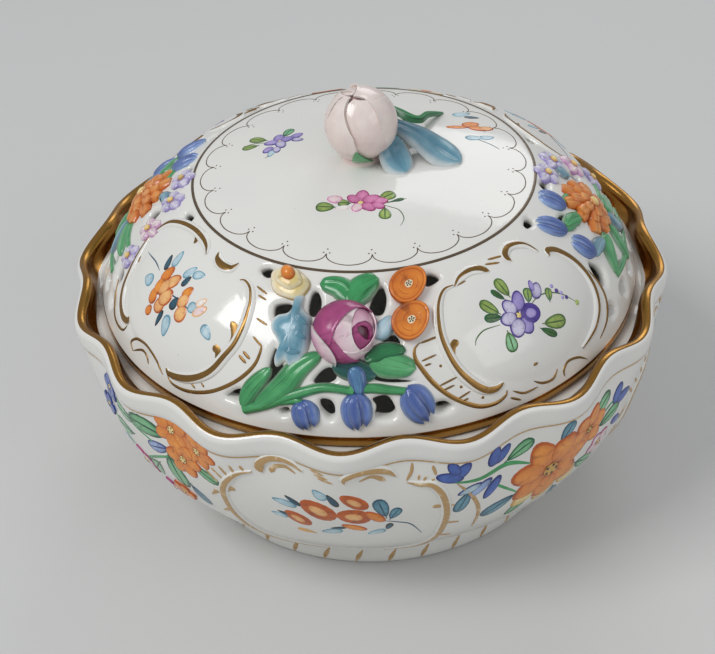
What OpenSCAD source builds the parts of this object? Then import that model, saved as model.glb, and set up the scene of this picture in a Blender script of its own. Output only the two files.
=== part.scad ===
// Covered potpourri bowl in glazed porcelain: a lobed bowl on a foot ring, and a pierced lid
// with applied flowers and a rosebud finial. Millimetres, +Z up. The origin is the middle of
// the foot's resting face, and the front faces -Y. Angles run from the front towards +X.

/* [Bowl] */
// Mean diameter across the lobed rim
rim_d = 170; // [156:1:184]
// Mean height of the rim above the table
bowl_h = 69; // [62:1:76]
// Thickness of the bowl's wall and floor
bowl_wall = 3.2; // [2.6:0.1:3.8]
// Thickness of the rim
rim_wall = 3; // [2.4:0.1:3.6]
// Fullness of the belly, higher is rounder
belly = 2.8; // [2.2:0.1:3.6]
// Number of lobes round the rim
rim_lobes = 16; // [12:4:20]
// How far a lobe swings out and in
lobe_swing = 1.5; // [0.5:0.1:1.8]
// How far the rim dips and rises with the lobes
lobe_rise = 1.2; // [0.4:0.1:1.6]
// Height of the raised plain band under the rim
band_h = 5; // [4:0.5:7]
// How far that band stands proud of the wall
band_relief = 0.7; // [0.3:0.1:1]

/* [Foot ring] */
// Diameter of the foot ring
foot_d = 117; // [105:1:125]
// Height of the foot ring
foot_h = 8; // [6:0.5:10]
// Width of the foot ring's section
foot_w = 6; // [4:0.5:8]

/* [Lid seat] */
// Depth of the seat below the rim
seat_depth = 6; // [5:0.5:8]
// Thickness of the ledge that carries the lid
ledge_t = 3; // [2.4:0.1:4]
// Clear gap between the rim's inner face and the lid's edge
lid_gap = 4; // [3:0.1:5]
// Bedding gap between the seat and the lid
bed_gap = 0.1; // [0.05:0.01:0.2]
// Radial clearance of the collar in the seat
collar_gap = 0.8; // [0.5:0.1:1.2]
// Depth of the locating collar under the lid
collar_h = 7; // [5:0.5:10]
// Thickness of the locating collar
collar_wall = 2.5; // [2:0.1:3]
// Width of the lid's flat edge outside the collar
edge_w = 3.5; // [3:0.1:5]

/* [Lid] */
// Thickness of the lid
lid_wall = 3; // [2.4:0.1:3.6]
// Thickness of the lid's edge
edge_t = 3; // [2.4:0.1:3.6]
// Height of the pierced shoulder
shoulder_h = 32; // [28:0.5:36]
// Half of the angle that the shoulder turns through
shoulder_turn = 23; // [16:1:26]
// Diameter of the plain crown inside the shoulder
crown_d = 97; // [88:1:104]
// Rise of the crown
crown_rise = 5.5; // [3:0.5:8]

/* [Scroll frames] */
// Width of a lid cartouche, measured round the shoulder's middle
lid_frame_w = 50; // [44:1:54]
// Height of a lid cartouche, measured up the slope
lid_frame_h = 37; // [32:0.5:39]
// Width of a bowl cartouche, measured round the wall
bowl_frame_w = 64; // [54:1:72]
// Height of a bowl cartouche
bowl_frame_h = 42; // [36:0.5:43]
// Width of the moulded rib
rib_w = 2.4; // [1.6:0.1:3]
// How far the rib stands proud
rib_h = 0.9; // [0.5:0.1:1.2]

/* [Applied flowers] */
// Diameter of the rose
rose_d = 18; // [15:0.5:19]
// How far the rose stands off the clay
rose_h = 6.4; // [5:0.2:8]
// Diameter of the cupped blossoms
cup_d = 10.4; // [8:0.2:11]
// How far a cupped blossom stands off the clay
cup_h = 2.4; // [1.8:0.1:3.2]
// Diameter of the small tiered bud
small_bud_d = 9.6; // [7:0.2:10]
// How far the small tiered bud stands off the clay
small_bud_h = 3.2; // [2.4:0.1:4]
// Length of the bellflower
bell_l = 15.5; // [13:0.5:17]
// How far the bellflower stands off the clay
bell_h = 2.8; // [2:0.1:3.6]
// Length of a tulip
tulip_l = 9; // [7:0.5:10]
// How far a tulip stands off the clay
tulip_h = 2.6; // [2:0.1:3.4]
// Diameter of the large ruffled flower
ruffle_d = 19; // [16:0.5:21]
// How far the large ruffled flower stands off the clay
ruffle_h = 2.6; // [2:0.1:3.4]
// Diameter of the small five-petalled blossoms
posy_d = 8; // [6.5:0.5:9]
// How far such a blossom stands off the clay
posy_h = 1.6; // [1.2:0.1:2.2]
// Least share of the front panel's relief that the back panel has
back_relief = 0.25; // [0.2:0.05:0.5]
// How far the outer blue bud's middle lies from the cartouche beside it, round the shoulder
side_bud_in = 3.2; // [2.8:0.1:3.6]
// Clear gap between a small blossom and what lies beside it
posy_clear = 0.5; // [0.3:0.1:0.8]
// Thickness of the leaves
leaf_t = 1.8; // [1.4:0.1:2.4]
// Diameter of the stems
stem_d = 2; // [1.6:0.1:2.6]
// How deep an applied piece is bedded in the clay
lute = 0.8; // [0.6:0.1:1]

/* [Finial] */
// Diameter of the rosebud
bud_d = 20; // [17:0.5:23]
// Thickness of a petal
petal_t = 1.1; // [0.8:0.1:1.4]
// Gap left between petals
petal_gap = 0.1; // [0.05:0.01:0.2]
// How deep a petal or sepal is bedded in what carries it
petal_bed = 0.2; // [0.1:0.05:0.3]
// Height of the stub that carries the bud
stub_h = 2.5; // [2:0.25:4]
// Diameter of that stub
stub_d = 11; // [9:0.5:13]
// Length of the leaf beside the bud
bud_leaf_l = 24; // [20:0.5:27]
// Width of that leaf
bud_leaf_w = 7.6; // [6:0.1:8.4]
// Height above the crown at which that leaf leaves the bud
bud_leaf_rise = 8; // [6:0.5:9]
// Length of the blue spray beside the bud
spray_l = 21; // [17:0.5:24]
// Width of each lobe of that spray
spray_w = 6.4; // [5:0.1:7.4]

/* [Hidden] */
SIDES = ["front", "right", "back", "left"];
CORNERS = ["front_right", "back_right", "back_left", "front_left"];
PETALS = 5;
$fn = 96;

porcelain = "white";
glaze_white = "ivory";
gilt = "goldenrod";

rim_r = rim_d / 2;
foot_r = foot_d / 2;
crown_r = crown_d / 2;
seat_z = bowl_h - seat_depth;
lid_z = seat_z + bed_gap;
edge_z = lid_z + edge_t;
lid_r = rim_r - rim_wall - lid_gap;
collar_r = lid_r - edge_w;
ring_z = edge_z + shoulder_h;
crown_z = ring_z + crown_rise;

// The bowl's outer wall at a share s of its height, as [radius, height]
function wall_at(s) = [
    foot_r + (rim_r - foot_r) * (1 - pow(1 - s, belly)),
    foot_h + (bowl_h - foot_h) * s
];
// Unit vector square to that wall, pointing out
function wall_normal(s) =
    let (run = (rim_r - foot_r) * belly * pow(1 - s, belly - 1), rise = bowl_h - foot_h)
    [rise, -run] / norm([rise, run]);
// How much a row at a share s of the height follows the lobes
lobes_start = 0.6;
function lobe_share(s) =
    let (t = max(0, (s - lobes_start) / (1 - lobes_start))) t * t * (3 - 2 * t);

// The shoulder is one arc from the lid's edge to the crown
chord_angle = atan2(shoulder_h, lid_r - crown_r);
arc_r = norm([shoulder_h, lid_r - crown_r]) / (2 * sin(shoulder_turn));
arc_length = arc_r * 2 * shoulder_turn * PI / 180;
edge_slope = chord_angle + shoulder_turn;
function slope_at(v) = edge_slope - 2 * shoulder_turn * v;
// The shoulder at a share v of its arc, lifted off it, as [radius, height]
function shoulder_at(v, lift = 0) =
    let (t = slope_at(v))
    [
        lid_r + arc_r * (sin(t) - sin(edge_slope)) + lift * sin(t),
        edge_z + arc_r * (cos(t) - cos(edge_slope)) + lift * cos(t)
    ];
function shoulder_normal(v) = [sin(slope_at(v)), cos(slope_at(v))];
function crown_at(r) = ring_z + crown_rise * (1 - pow(r / crown_r, 2));
// A point [radius, height] turned to angle a
function turned(p, a) = [p.x * sin(a), -p.x * cos(a), p.y];
function unit(p) = p / norm(p);
function reversed(list) = [for (i = [len(list) - 1:-1:0]) list[i]];
function nth(value, i) = is_list(value) ? value[i] : value;
// The relief of the back panel dies away up the shoulder
back_fade = 0.7;
function relief_share(side, v) = side == 2 ? max(back_relief, 1 - v / back_fade) : 1;

// The lid's cartouches leave a free strip between them, and the outer blue bud and the last posy
// stand at its edges
lid_frame_v = 0.52;
frame_half_angle = lid_frame_w / 2 / shoulder_at(lid_frame_v).x * 180 / PI;
frame_edge = 45 - frame_half_angle;
side_bud_v = 0.8;
side_bud = [side_bud_in / shoulder_at(side_bud_v).x * 180 / PI - frame_edge, side_bud_v];
last_posy_v = 0.44;
last_posy_reach = (posy_d + rib_w) / 2 + posy_clear;
last_posy = [
    frame_edge - last_posy_reach / shoulder_at(last_posy_v).x * 180 / PI,
    last_posy_v
];

// Flowers of the panels at the front and back: [piece, kind, angle from the panel's middle,
// share up the shoulder, turn]
ROSE_PANEL = [
    ["rose", "rose", 0, 0.63, 0],
    ["cup_upper", "cup", 16.9, 0.89, 0],
    ["cup_lower", "cup", 15.9, 0.65, 0],
    ["small_bud", "small_bud", -16.3, 0.9, 0],
    ["bellflower", "bell", -12.8, 0.585, 0],
    ["tulip_left", "tulip", -7.3, 0.13, 0],
    ["tulip_middle", "tulip", 3.2, 0.16, 0],
    ["tulip_right", "tulip", 15.2, 0.2, 25]
];
// Flowers of the panels at the right and left, in the same form
RUFFLE_PANEL = [
    ["ruffled_flower", "ruffle", -1, 0.6, 0],
    ["blue_bud_1", "tulip", -9.5, 0.87, 180],
    ["blue_bud_2", "tulip", side_bud[0], side_bud[1], 160],
    ["blue_bud_3", "tulip", -17, 0.56, 170],
    ["posy_1", "posy", 3, 0.92, 0],
    ["posy_2", "posy", 12.5, 0.85, 0],
    ["posy_3", "posy", 17, 0.65, 0],
    ["posy_4", "posy", last_posy[0], last_posy[1], 0]
];

// Bowl

bowl_steps = 96;
wall_rows = 9;
lip_r = (rim_wall + band_relief) / 2;
band_s = 1 - (band_h + lip_r) / (bowl_h - foot_h);
ledge_s = (seat_z - ledge_t - 2 * ledge_t - foot_h) / (bowl_h - foot_h);
floor_z = foot_h + bowl_wall;
floor_s = 0.05;
seat_out_r = lid_r + lid_gap / 2;
seat_in_r = collar_r + collar_gap;
function inner_wall_at(s) = wall_at(s) - bowl_wall * wall_normal(s);

// Each row is [radius, height, share of the lobes], from the underside over the rim to the floor
bowl_rows = concat(
    [for (i = [0:wall_rows])
        let (s = band_s * i / wall_rows) [wall_at(s).x, wall_at(s).y, lobe_share(s)]],
    [[wall_at(band_s).x + band_relief, wall_at(band_s).y + band_relief, lobe_share(band_s)]],
    [for (a = [0:45:180])
        [rim_r + band_relief - lip_r + lip_r * cos(a), bowl_h - lip_r + lip_r * sin(a), 1]],
    [[seat_out_r, seat_z, 0], [seat_in_r, seat_z, 0], [seat_in_r, seat_z - ledge_t, 0]],
    [for (i = [wall_rows:-1:0])
        let (p = inner_wall_at(floor_s + (ledge_s - floor_s) * i / wall_rows)) [p.x, p.y, 0]],
    [[inner_wall_at(0).x - bowl_wall, floor_z, 0]]
);

// A closed shell swept round Z from rows, with a pole at each end
module lobed_shell(rows, steps) {
    count = len(rows);
    points = concat(
        [for (row = rows) for (k = [0:steps - 1])
            let (a = 360 * k / steps, wave = row[2] * cos(rim_lobes * a))
            turned([row[0] + lobe_swing * wave, row[1] - lobe_rise * wave], a)],
        [[0, 0, rows[0][1]], [0, 0, rows[count - 1][1]]]
    );
    low_pole = count * steps;
    sides = [for (i = [0:count - 2]) for (k = [0:steps - 1])
        let (n = (k + 1) % steps, a = i * steps + k, b = i * steps + n)
        each [[a, a + steps, b + steps], [a, b + steps, b]]];
    caps = [for (k = [0:steps - 1])
        let (n = (k + 1) % steps, top = (count - 1) * steps)
        each [[low_pole, k, n], [low_pole + 1, top + n, top + k]]];
    polyhedron(points, concat(sides, caps));
}

module bowl_shell() {
    color(porcelain) lobed_shell(bowl_rows, bowl_steps);
}

module foot_ring() {
    bevel = foot_w / 6;
    color(glaze_white) rotate_extrude() polygon([
        [foot_r - foot_w, foot_h],
        [foot_r - foot_w + bevel, 0],
        [foot_r - 2 * bevel, 0],
        [foot_r - bevel, bevel],
        [foot_r, foot_h]
    ]);
}

// Moulded scroll frames

frame_steps = 48;
bar_sides = 6;
frame_waves = 7;
frame_wave = 0.05;

// A shield outline in shares of its half sizes, with the point of its lobe at the top
function frame_outline(t) =
    let (r = 1 + frame_wave * cos(frame_waves * (t - 90)))
    [r * cos(t) * (1 + 0.1 * sin(t)), r * sin(t)];

// A round bar of six sides along points, each with its own normal, as a loop or with two ends,
// in one width or a width for each point
module bar(points, normals, half_w, half_h, loop) {
    count = len(points);
    last = count - 1;
    rings = [for (i = [0:last])
        let (
            next = points[loop ? (i + 1) % count : min(i + 1, last)],
            back = points[loop ? (i + last) % count : max(i - 1, 0)],
            across = unit(cross(unit(next - back), normals[i]))
        )
        [for (j = [0:bar_sides - 1])
            let (a = 360 * j / bar_sides)
            points[i] + nth(half_w, i) * cos(a) * across + half_h * sin(a) * normals[i]]];
    sides = [for (i = [0:loop ? last : last - 1]) for (j = [0:bar_sides - 1])
        let (
            ring = i * bar_sides,
            ahead = ((i + 1) % count) * bar_sides,
            n = (j + 1) % bar_sides
        )
        each [[ring + j, ring + n, ahead + n], [ring + j, ahead + n, ahead + j]]];
    ends = loop ? [] : [
        [for (j = [bar_sides - 1:-1:0]) j],
        [for (j = [0:bar_sides - 1]) last * bar_sides + j]
    ];
    polyhedron([for (ring = rings) each ring], concat(sides, ends));
}

module lid_frame(angle) {
    places = [for (i = [0:frame_steps - 1])
        let (p = frame_outline(360 * i / frame_steps))
        [angle + frame_half_angle * p.x,
         lid_frame_v + lid_frame_h / 2 * p.y / arc_length]];
    color(gilt) bar(
        [for (p = places) turned(shoulder_at(p[1]), p[0])],
        [for (p = places) turned(shoulder_normal(p[1]), p[0])],
        rib_w / 2, rib_h, true
    );
}

bowl_frame_s = 0.54;
module bowl_frame(angle) {
    middle_r = wall_at(bowl_frame_s).x;
    places = [for (i = [0:frame_steps - 1])
        let (p = frame_outline(360 * i / frame_steps))
        [angle + bowl_frame_w / 2 * p.x / middle_r * 180 / PI,
         bowl_frame_s + bowl_frame_h / 2 * p.y / (bowl_h - foot_h)]];
    color(gilt) bar(
        [for (p = places)
            let (wave = lobe_share(p[1]) * cos(rim_lobes * p[0]), w = wall_at(p[1]))
            turned([w.x + lobe_swing * wave, w.y - lobe_rise * wave], p[0])],
        [for (p = places) turned(wall_normal(p[1]), p[0])],
        rib_w / 2, rib_h, true
    );
}

// Lid

arc_steps = 10;
crown_steps = 6;
hole_sides = 16;
pierce = 4 * lid_wall;
edge_bevel = edge_t / 4;

// Holes between the rose panel's flowers: [angle from the panel's middle, share up the
// shoulder, width, height, turn]
rose_holes = [
    [-23.5, 0.91, 4.5, 3, 0], [-16.4, 0.72, 6, 6, 0], [-8.3, 0.81, 3.8, 8.4, 0],
    [-15.4, 0.39, 4.6, 12, -12], [-3.5, 0.37, 6.5, 4.8, 15], [-11.8, 0.13, 4, 3.2, 0],
    [-3, 0.17, 4.6, 6.5, 10], [8.6, 0.18, 6.5, 7, 0], [20, 0.14, 5.5, 3.4, 10],
    [9, 0.8, 5, 9, -10], [11.2, 0.57, 5, 3.6, 0], [23.5, 0.91, 5, 3.2, 0],
    [-21.3, 0.2, 4.6, 4.4, 0], [11.5, 0.34, 8, 2.4, -10]
];
// The hole below the last posy keeps clear of its petals
last_hole_d = 4.6;
last_hole_v = last_posy_v - ((posy_d + last_hole_d) / 2 + posy_clear) / arc_length;
// Holes between the ruffled panel's flowers, in the same form
ruffle_holes = [
    [-23.5, 0.91, 4.5, 3, 0], [23.5, 0.91, 4.5, 3, 0], [-13.5, 0.74, 5, 5, 0],
    [12, 0.66, 5, 4.4, 0], [-18.5, 0.36, 4.4, 9, 10],
    [last_posy[0], last_hole_v, last_hole_d, last_hole_d, 0],
    [-8.5, 0.3, 5, 5, 0], [9.5, 0.3, 5.4, 4.6, 0], [0.5, 0.27, 4.4, 5.4, 0],
    [-12.5, 0.13, 5, 3.6, 0], [-4, 0.12, 4.6, 3.4, 0], [5, 0.12, 4.6, 3.4, 0],
    [13.5, 0.13, 5, 3.6, 0], [-3.2, 0.93, 5, 2.6, 0], [21, 0.15, 4, 3.4, 0],
    [-21, 0.15, 4, 3.4, 0]
];

// Moves children from the origin onto the shoulder: Y points up the slope, Z off it
module on_shoulder(angle, v, turn = 0, sink = lute) {
    p = shoulder_at(v);
    rotate([0, 0, angle])
        translate([0, -p.x, p.y])
            rotate([slope_at(v), 0, 0])
                rotate([0, 0, turn])
                    translate([0, 0, -sink])
                        children();
}

module holes(list, angle) {
    for (h = list)
        on_shoulder(angle + h[0], h[1], h[4], pierce / 2)
            linear_extrude(pierce)
                polygon([for (k = [0:hole_sides - 1])
                    let (a = 360 * k / hole_sides) [h[2] / 2 * cos(a), h[3] / 2 * sin(a)]]);
}

module lid_shell() {
    collar_in_r = collar_r - collar_wall;
    outside = concat(
        [for (i = [0:crown_steps - 1]) let (r = crown_r * i / crown_steps) [r, crown_at(r)]],
        [for (i = [arc_steps:-1:0]) shoulder_at(i / arc_steps)],
        [[lid_r, lid_z + edge_bevel], [lid_r - edge_bevel, lid_z]]
    );
    inside = concat(
        [for (i = [0:crown_steps - 1])
            let (r = crown_r * i / crown_steps) [r, crown_at(r) - lid_wall]],
        [for (i = [arc_steps:-1:0])
            let (p = shoulder_at(i / arc_steps, -lid_wall)) if (p.x < collar_in_r) p],
        [[collar_in_r, edge_z + 2 * edge_t], [collar_in_r, lid_z]]
    );
    color(porcelain) difference() {
        rotate_extrude() polygon(concat(outside, reversed(inside)));
        for (i = [0, 2]) holes(rose_holes, 90 * i);
        for (i = [1, 3]) holes(ruffle_holes, 90 * i);
    }
}

module lid_collar() {
    color(glaze_white) rotate_extrude()
        translate([collar_r - collar_wall, lid_z - collar_h])
            square([collar_wall, collar_h]);
}

// Applied flowers, each modelled flat at the origin with Z off the clay

// A round flower of the given radius from a profile in shares of it and of its height
module round_flower(profile, r, rise) {
    rotate_extrude() polygon([for (p = profile) [r * p.x, (lute + rise) * p.y]]);
}

// Three tiers of an outline, given by its right half in shares of a width and a length
module low_relief(half, w, l, rise) {
    outline = concat(half, [for (p = reversed(half)) if (p.x > 0) [-p.x, p.y]]);
    for (tier = [[1, 0.5], [0.84, 0.8], [0.6, 1]])
        linear_extrude(lute + tier[1] * rise)
            polygon([for (p = outline) tier[0] * [w * p.x, l * p.y]]);
}

module rose(share) {
    color("mediumvioletred") round_flower([
        [0, 0], [0.9, 0], [1, 0.3], [0.94, 0.54], [0.8, 0.7], [0.72, 0.62], [0.62, 0.82],
        [0.47, 0.93], [0.4, 0.82], [0.32, 0.97], [0.16, 1], [0, 0.86]
    ], rose_d / 2, rose_h * share);
}

module cupped_blossom(share) {
    color("darkorange") round_flower([
        [0, 0], [0.85, 0], [1, 0.66], [0.92, 0.94], [0.6, 0.72], [0.34, 0.66], [0.28, 0.9], [0, 1]
    ], cup_d / 2, cup_h * share);
}

module small_bud(share) {
    color("khaki") round_flower([
        [0, 0], [0.8, 0], [1, 0.4], [0.85, 0.66], [0.55, 0.62], [0.42, 0.92], [0, 1]
    ], small_bud_d / 2, small_bud_h * share);
}

// A hanging bud, its stalk end towards +Y and three pointed petals towards -Y
module tulip(share) {
    color("royalblue") low_relief([
        [0, 0.5], [0.26, 0.46], [0.44, 0.28], [0.5, 0], [0.48, -0.26], [0.4, -0.47], [0.2, -0.36], [0, -0.5]
    ], 0.82 * tulip_l, tulip_l, tulip_h * share);
}

// A neck towards +Y, broad shoulders, and a narrower scalloped mouth towards -Y
module bellflower(share) {
    color("cadetblue") low_relief([
        [0, 0.5], [0.14, 0.5], [0.17, 0.36], [0.42, 0.24], [0.5, 0.1], [0.42, -0.1],
        [0.36, -0.3], [0.34, -0.47], [0.17, -0.4], [0, -0.5]
    ], 0.62 * bell_l, bell_l, bell_h * share);
}

// A scalloped disc with the given number of petals
function petal_outline(d, count, turn) = [for (k = [0:petal_points * count - 1])
    let (a = 360 * k / (petal_points * count))
    d / 2 * (0.84 + 0.16 * cos(count * a)) * [cos(a + turn), sin(a + turn)]];

// Two tiers of petals about a domed eye
petal_points = 8;
module tiered_flower(d, count, rise, tint) {
    eye_r = 0.15 * d;
    color(tint) {
        linear_extrude(lute + 0.55 * rise) polygon(petal_outline(d, count, 0));
        linear_extrude(lute + 0.8 * rise) polygon(petal_outline(0.66 * d, count, 180 / count));
        rotate_extrude()
            polygon([[0, 0], [eye_r, 0], [eye_r, lute + 0.9 * rise], [0.6 * eye_r, lute + rise], [0, lute + rise]]);
    }
}

module leaf(l, w, tint = "seagreen", rise = leaf_t - lute) {
    half = [for (i = [0:8]) let (t = i / 8) [w / 2 * sin(180 * pow(t, 0.85)), l * t]];
    color(tint) linear_extrude(lute + rise)
        polygon(concat(half, [for (p = reversed(half)) if (p.x > 0.01) [-p.x, p.y]]));
}

module flower(kind, share) {
    if (kind == "rose") rose(share);
    if (kind == "cup") cupped_blossom(share);
    if (kind == "small_bud") small_bud(share);
    if (kind == "bell") bellflower(share);
    if (kind == "tulip") tulip(share);
    if (kind == "ruffle") tiered_flower(ruffle_d, 9, ruffle_h * share, "orangered");
    if (kind == "posy") tiered_flower(posy_d, 5, posy_h * share, "plum");
}

module panel_flower(row, side) {
    on_shoulder(90 * side + row[2], row[3], row[4]) flower(row[1], relief_share(side, row[3]));
}

// A round stem along shoulder places [angle, share], from the panel at angle
module stem(places, angle) {
    color("seagreen") bar(
        [for (p = places) turned(shoulder_at(p[1], stem_d / 2 - lute), angle + p[0])],
        [for (p = places) turned(shoulder_normal(p[1]), angle + p[0])],
        stem_d / 2, stem_d / 2, false
    );
}

// Leaves of the rose panel: [angle, share, turn, length, width], each from its stalk end
rose_leaves = [
    [0.4, 0.82, 42, 10, 7], [2.2, 0.82, -42, 10, 7], [4.5, 0.5, -118, 15, 8],
    [-16, 0.16, -42, 18.5, 7.5], [-18, 0.13, 8, 10, 5.5], [-1, 0.42, -120, 8, 5],
    [8, 0.6, -85, 6, 4]
];
rose_stems = [
    [[-19, 0.12], [-14, 0.18], [-9, 0.24], [-2, 0.29], [1, 0.29], [3.2, 0.25]],
    [[-9, 0.24], [-8, 0.2], [-7.4, 0.17]],
    [[1, 0.29], [6, 0.32], [11, 0.3], [14, 0.26]],
    [[3.5, 0.31], [4.5, 0.4], [5, 0.5]]
];
// The last posy's stem ends at the rim of its petals
posy_stalk = (posy_d / 2 + posy_clear) / shoulder_at(last_posy_v).x * 180 / PI;
// Leaves and stems of the ruffled panel, in the same forms
ruffle_leaves = [
    [-9.5, 0.66, 60, 9, 5.5], [-14.5, 0.45, 75, 8, 5], [7, 0.42, -125, 12, 6.5],
    [-8, 0.42, 140, 12, 6.5], [0, 0.36, 175, 12, 6]
];
ruffle_stems = [
    [[-6, 0.44], [-11, 0.45], [-15, 0.47], [-17, 0.5]],
    [[-7, 0.66], [-12, 0.67], [side_bud[0] + 3, 0.7], [side_bud[0] + 0.5, 0.74]],
    [[-3, 0.78], [-6, 0.79], [-9, 0.81]],
    [[6, 0.46], [last_posy[0] / 2, 0.44], [last_posy[0] - posy_stalk, last_posy_v]]
];

module foliage(leaves, stems, side) {
    for (p = leaves)
        on_shoulder(90 * side + p[0], p[1], p[2])
            leaf(p[3], p[4], rise = (leaf_t - lute) * relief_share(side, p[1]));
    for (s = stems) stem(s, 90 * side);
}

// Finial

bud_r = bud_d / 2;
core_r = bud_r - petal_t;
bud_z = crown_z + stub_h + core_r - lute;
stub_top_d = 0.8 * stub_d;
petal_top = 30;
sepal_count = 4;
sepal_l = 0.95 * bud_r;
sepal_w = 0.75 * bud_r;

module finial_stub() {
    color(porcelain) translate([0, 0, crown_z - lute])
        cylinder(h = stub_h + lute, d1 = stub_d, d2 = stub_top_d);
}

module finial_core() {
    color("mistyrose") translate([0, 0, bud_z]) sphere(core_r);
}

// A spherical shell between two radii, kept inside its children
module shell_within(inner, outer) {
    intersection() {
        difference() {
            sphere(outer);
            sphere(inner);
        }
        children();
    }
}

// One share of the bud's wall, bedded on the core and left open at the top and the stub
module finial_petal(i) {
    span = 360 / PETALS;
    reach = 2 * bud_r;
    gap_angle = petal_gap / bud_r * 180 / PI;
    color("lavenderblush") translate([0, 0, bud_z]) difference() {
        shell_within(core_r - petal_bed, bud_r)
            rotate([0, 0, span * i])
                translate([0, 0, -reach])
                    linear_extrude(2 * reach)
                        polygon([[0, 0], for (k = [0:4])
                            let (a = gap_angle + (span - 2 * gap_angle) * k / 4)
                            reach * [cos(a), sin(a)]]);
        cylinder(h = reach, r1 = 0, r2 = reach * tan(petal_top));
        translate([0, 0, -reach]) cylinder(h = reach, r = stub_d / 2 + petal_gap);
    }
}

module finial_sepals() {
    half = [for (i = [0:6]) let (t = i / 6) [sepal_w / 2 * (1 - t * t), sepal_l * t]];
    inner = bud_r - petal_bed;
    color("mediumseagreen") translate([0, 0, bud_z]) for (k = [0:sepal_count - 1])
        rotate([0, 0, 360 * (k + 0.5) / sepal_count])
            shell_within(inner, inner + petal_t)
                rotate([90, 0, 0])
                    translate([0, -0.75 * bud_r, 0])
                        linear_extrude(2 * bud_r)
                            polygon(concat(half, [for (p = reversed(half)) if (p.x > 0) [-p.x, p.y]]));
}

// Moves children onto the crown at a radius, with Y pointing outwards
module on_crown(angle, r, tilt, turn = 0) {
    rotate([0, 0, angle])
        translate([0, -r, crown_at(r) - lute])
            rotate([0, 0, 180 + turn])
                rotate([tilt, 0, 0])
                    children();
}

bud_leaf_angle = 138;
spray_angle = 96;
bud_leaf_steps = 10;
// The leaf arches from the bud's side down to the crown, each place as [radius, height]
bud_leaf_from = sqrt(pow(bud_r, 2) - pow(bud_z - crown_z - bud_leaf_rise, 2)) - petal_bed;
bud_leaf_path = [for (i = [0:bud_leaf_steps])
    let (t = i / bud_leaf_steps, r = bud_leaf_from + bud_leaf_l * t)
    [r, crown_at(r) + bud_leaf_rise * pow(1 - t, 1.6) + (leaf_t / 2 - lute) * t]];
module finial_leaf() {
    along = [for (i = [0:bud_leaf_steps])
        bud_leaf_path[min(i + 1, bud_leaf_steps)] - bud_leaf_path[max(i - 1, 0)]];
    color("seagreen") bar(
        [for (p = bud_leaf_path) turned(p, bud_leaf_angle)],
        [for (d = along) turned(unit([-d.y, d.x]), bud_leaf_angle)],
        [for (i = [0:bud_leaf_steps])
            bud_leaf_w / 2 * (0.16 + 0.84 * sin(180 * pow(0.06 + 0.9 * i / bud_leaf_steps, 0.8)))],
        leaf_t / 2, false
    );
}

// The spray's lobes as [turn, share of its length]
spray_lobes = [[-48, 0.52], [-6, 1], [16, 0.94]];
module finial_spray() {
    for (lobe = spray_lobes)
        on_crown(spray_angle, stub_d / 2, 0, lobe[0]) leaf(lobe[1] * spray_l, spray_w, "steelblue");
}

bowl_shell();
foot_ring();
for (i = [0:3])
    bowl_frame(90 * i);
lid_shell();
lid_collar();
for (i = [0:3])
    lid_frame(45 + 90 * i);
for (i = [0, 2]) for (p = ROSE_PANEL)
    panel_flower(p, i);
for (i = [1, 3]) for (p = RUFFLE_PANEL)
    panel_flower(p, i);
for (i = [0, 2])
    foliage(rose_leaves, rose_stems, i);
for (i = [1, 3])
    foliage(ruffle_leaves, ruffle_stems, i);
finial_stub();
finial_core();
finial_sepals();
finial_leaf();
finial_spray();
for (i = [1:PETALS])
    finial_petal(i - 1);
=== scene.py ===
import math

import bmesh
import bpy
import numpy as np
from mathutils import Matrix, Vector
from mathutils.geometry import delaunay_2d_cdt


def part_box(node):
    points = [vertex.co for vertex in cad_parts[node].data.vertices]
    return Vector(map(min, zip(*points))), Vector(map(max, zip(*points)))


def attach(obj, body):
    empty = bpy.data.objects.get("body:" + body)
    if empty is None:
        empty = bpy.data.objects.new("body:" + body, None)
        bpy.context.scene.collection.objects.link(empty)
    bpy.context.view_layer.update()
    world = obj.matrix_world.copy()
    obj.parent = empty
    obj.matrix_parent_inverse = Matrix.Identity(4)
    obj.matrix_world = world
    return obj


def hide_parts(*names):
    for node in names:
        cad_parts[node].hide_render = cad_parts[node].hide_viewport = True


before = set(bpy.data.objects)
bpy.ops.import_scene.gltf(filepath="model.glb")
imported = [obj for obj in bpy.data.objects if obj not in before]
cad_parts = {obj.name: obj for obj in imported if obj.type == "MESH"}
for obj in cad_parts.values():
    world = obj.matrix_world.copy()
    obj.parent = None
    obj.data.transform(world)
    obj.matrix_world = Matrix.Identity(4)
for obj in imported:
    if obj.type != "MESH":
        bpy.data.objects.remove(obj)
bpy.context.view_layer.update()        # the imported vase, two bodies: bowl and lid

scene = bpy.context.scene
mm = 0.001

# Sizes in millimetres, the driving ones read off the frame
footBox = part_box("foot_ring")
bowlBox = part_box("bowl_shell")
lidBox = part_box("lid_shell")
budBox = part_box("finial_core")
vase = {
    "footWidth": 6.0,
    "belly": 2.8,
    "bowlWall": 3.2,
    "rimWall": 3.0,
    "rimLobes": 16,
    "lobeSwing": 1.5,
    "lobeRise": 1.2,
    "lobesStart": 0.6,
    "bandHeight": 5.0,
    "bandRelief": 0.7,
    "seatDepth": 6.0,
    "lidWall": 3.0,
    "edgeThick": 3.0,
    "shoulderTurn": 23.0,
    "crownRadius": 48.5,
    "crownRise": 5.5,
    "collarInside": 72.0,
    "fieldMiddle": 0.52,
    "fieldWide": 24.0,
    "fieldTall": 17.5,
    "fieldBulge": 1.3,
}
footRadius = footBox[1].x / mm
footHeight = footBox[1].z / mm
rimRadius = bowlBox[1].x / mm - vase["bandRelief"] - vase["lobeSwing"]
bowlHeight = bowlBox[1].z / mm - vase["lobeRise"]
lidRadius = lidBox[1].x / mm
lidBottom = lidBox[0].z / mm
edgeTop = lidBottom + vase["edgeThick"]
ringHeight = lidBox[1].z / mm - vase["crownRise"]
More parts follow.
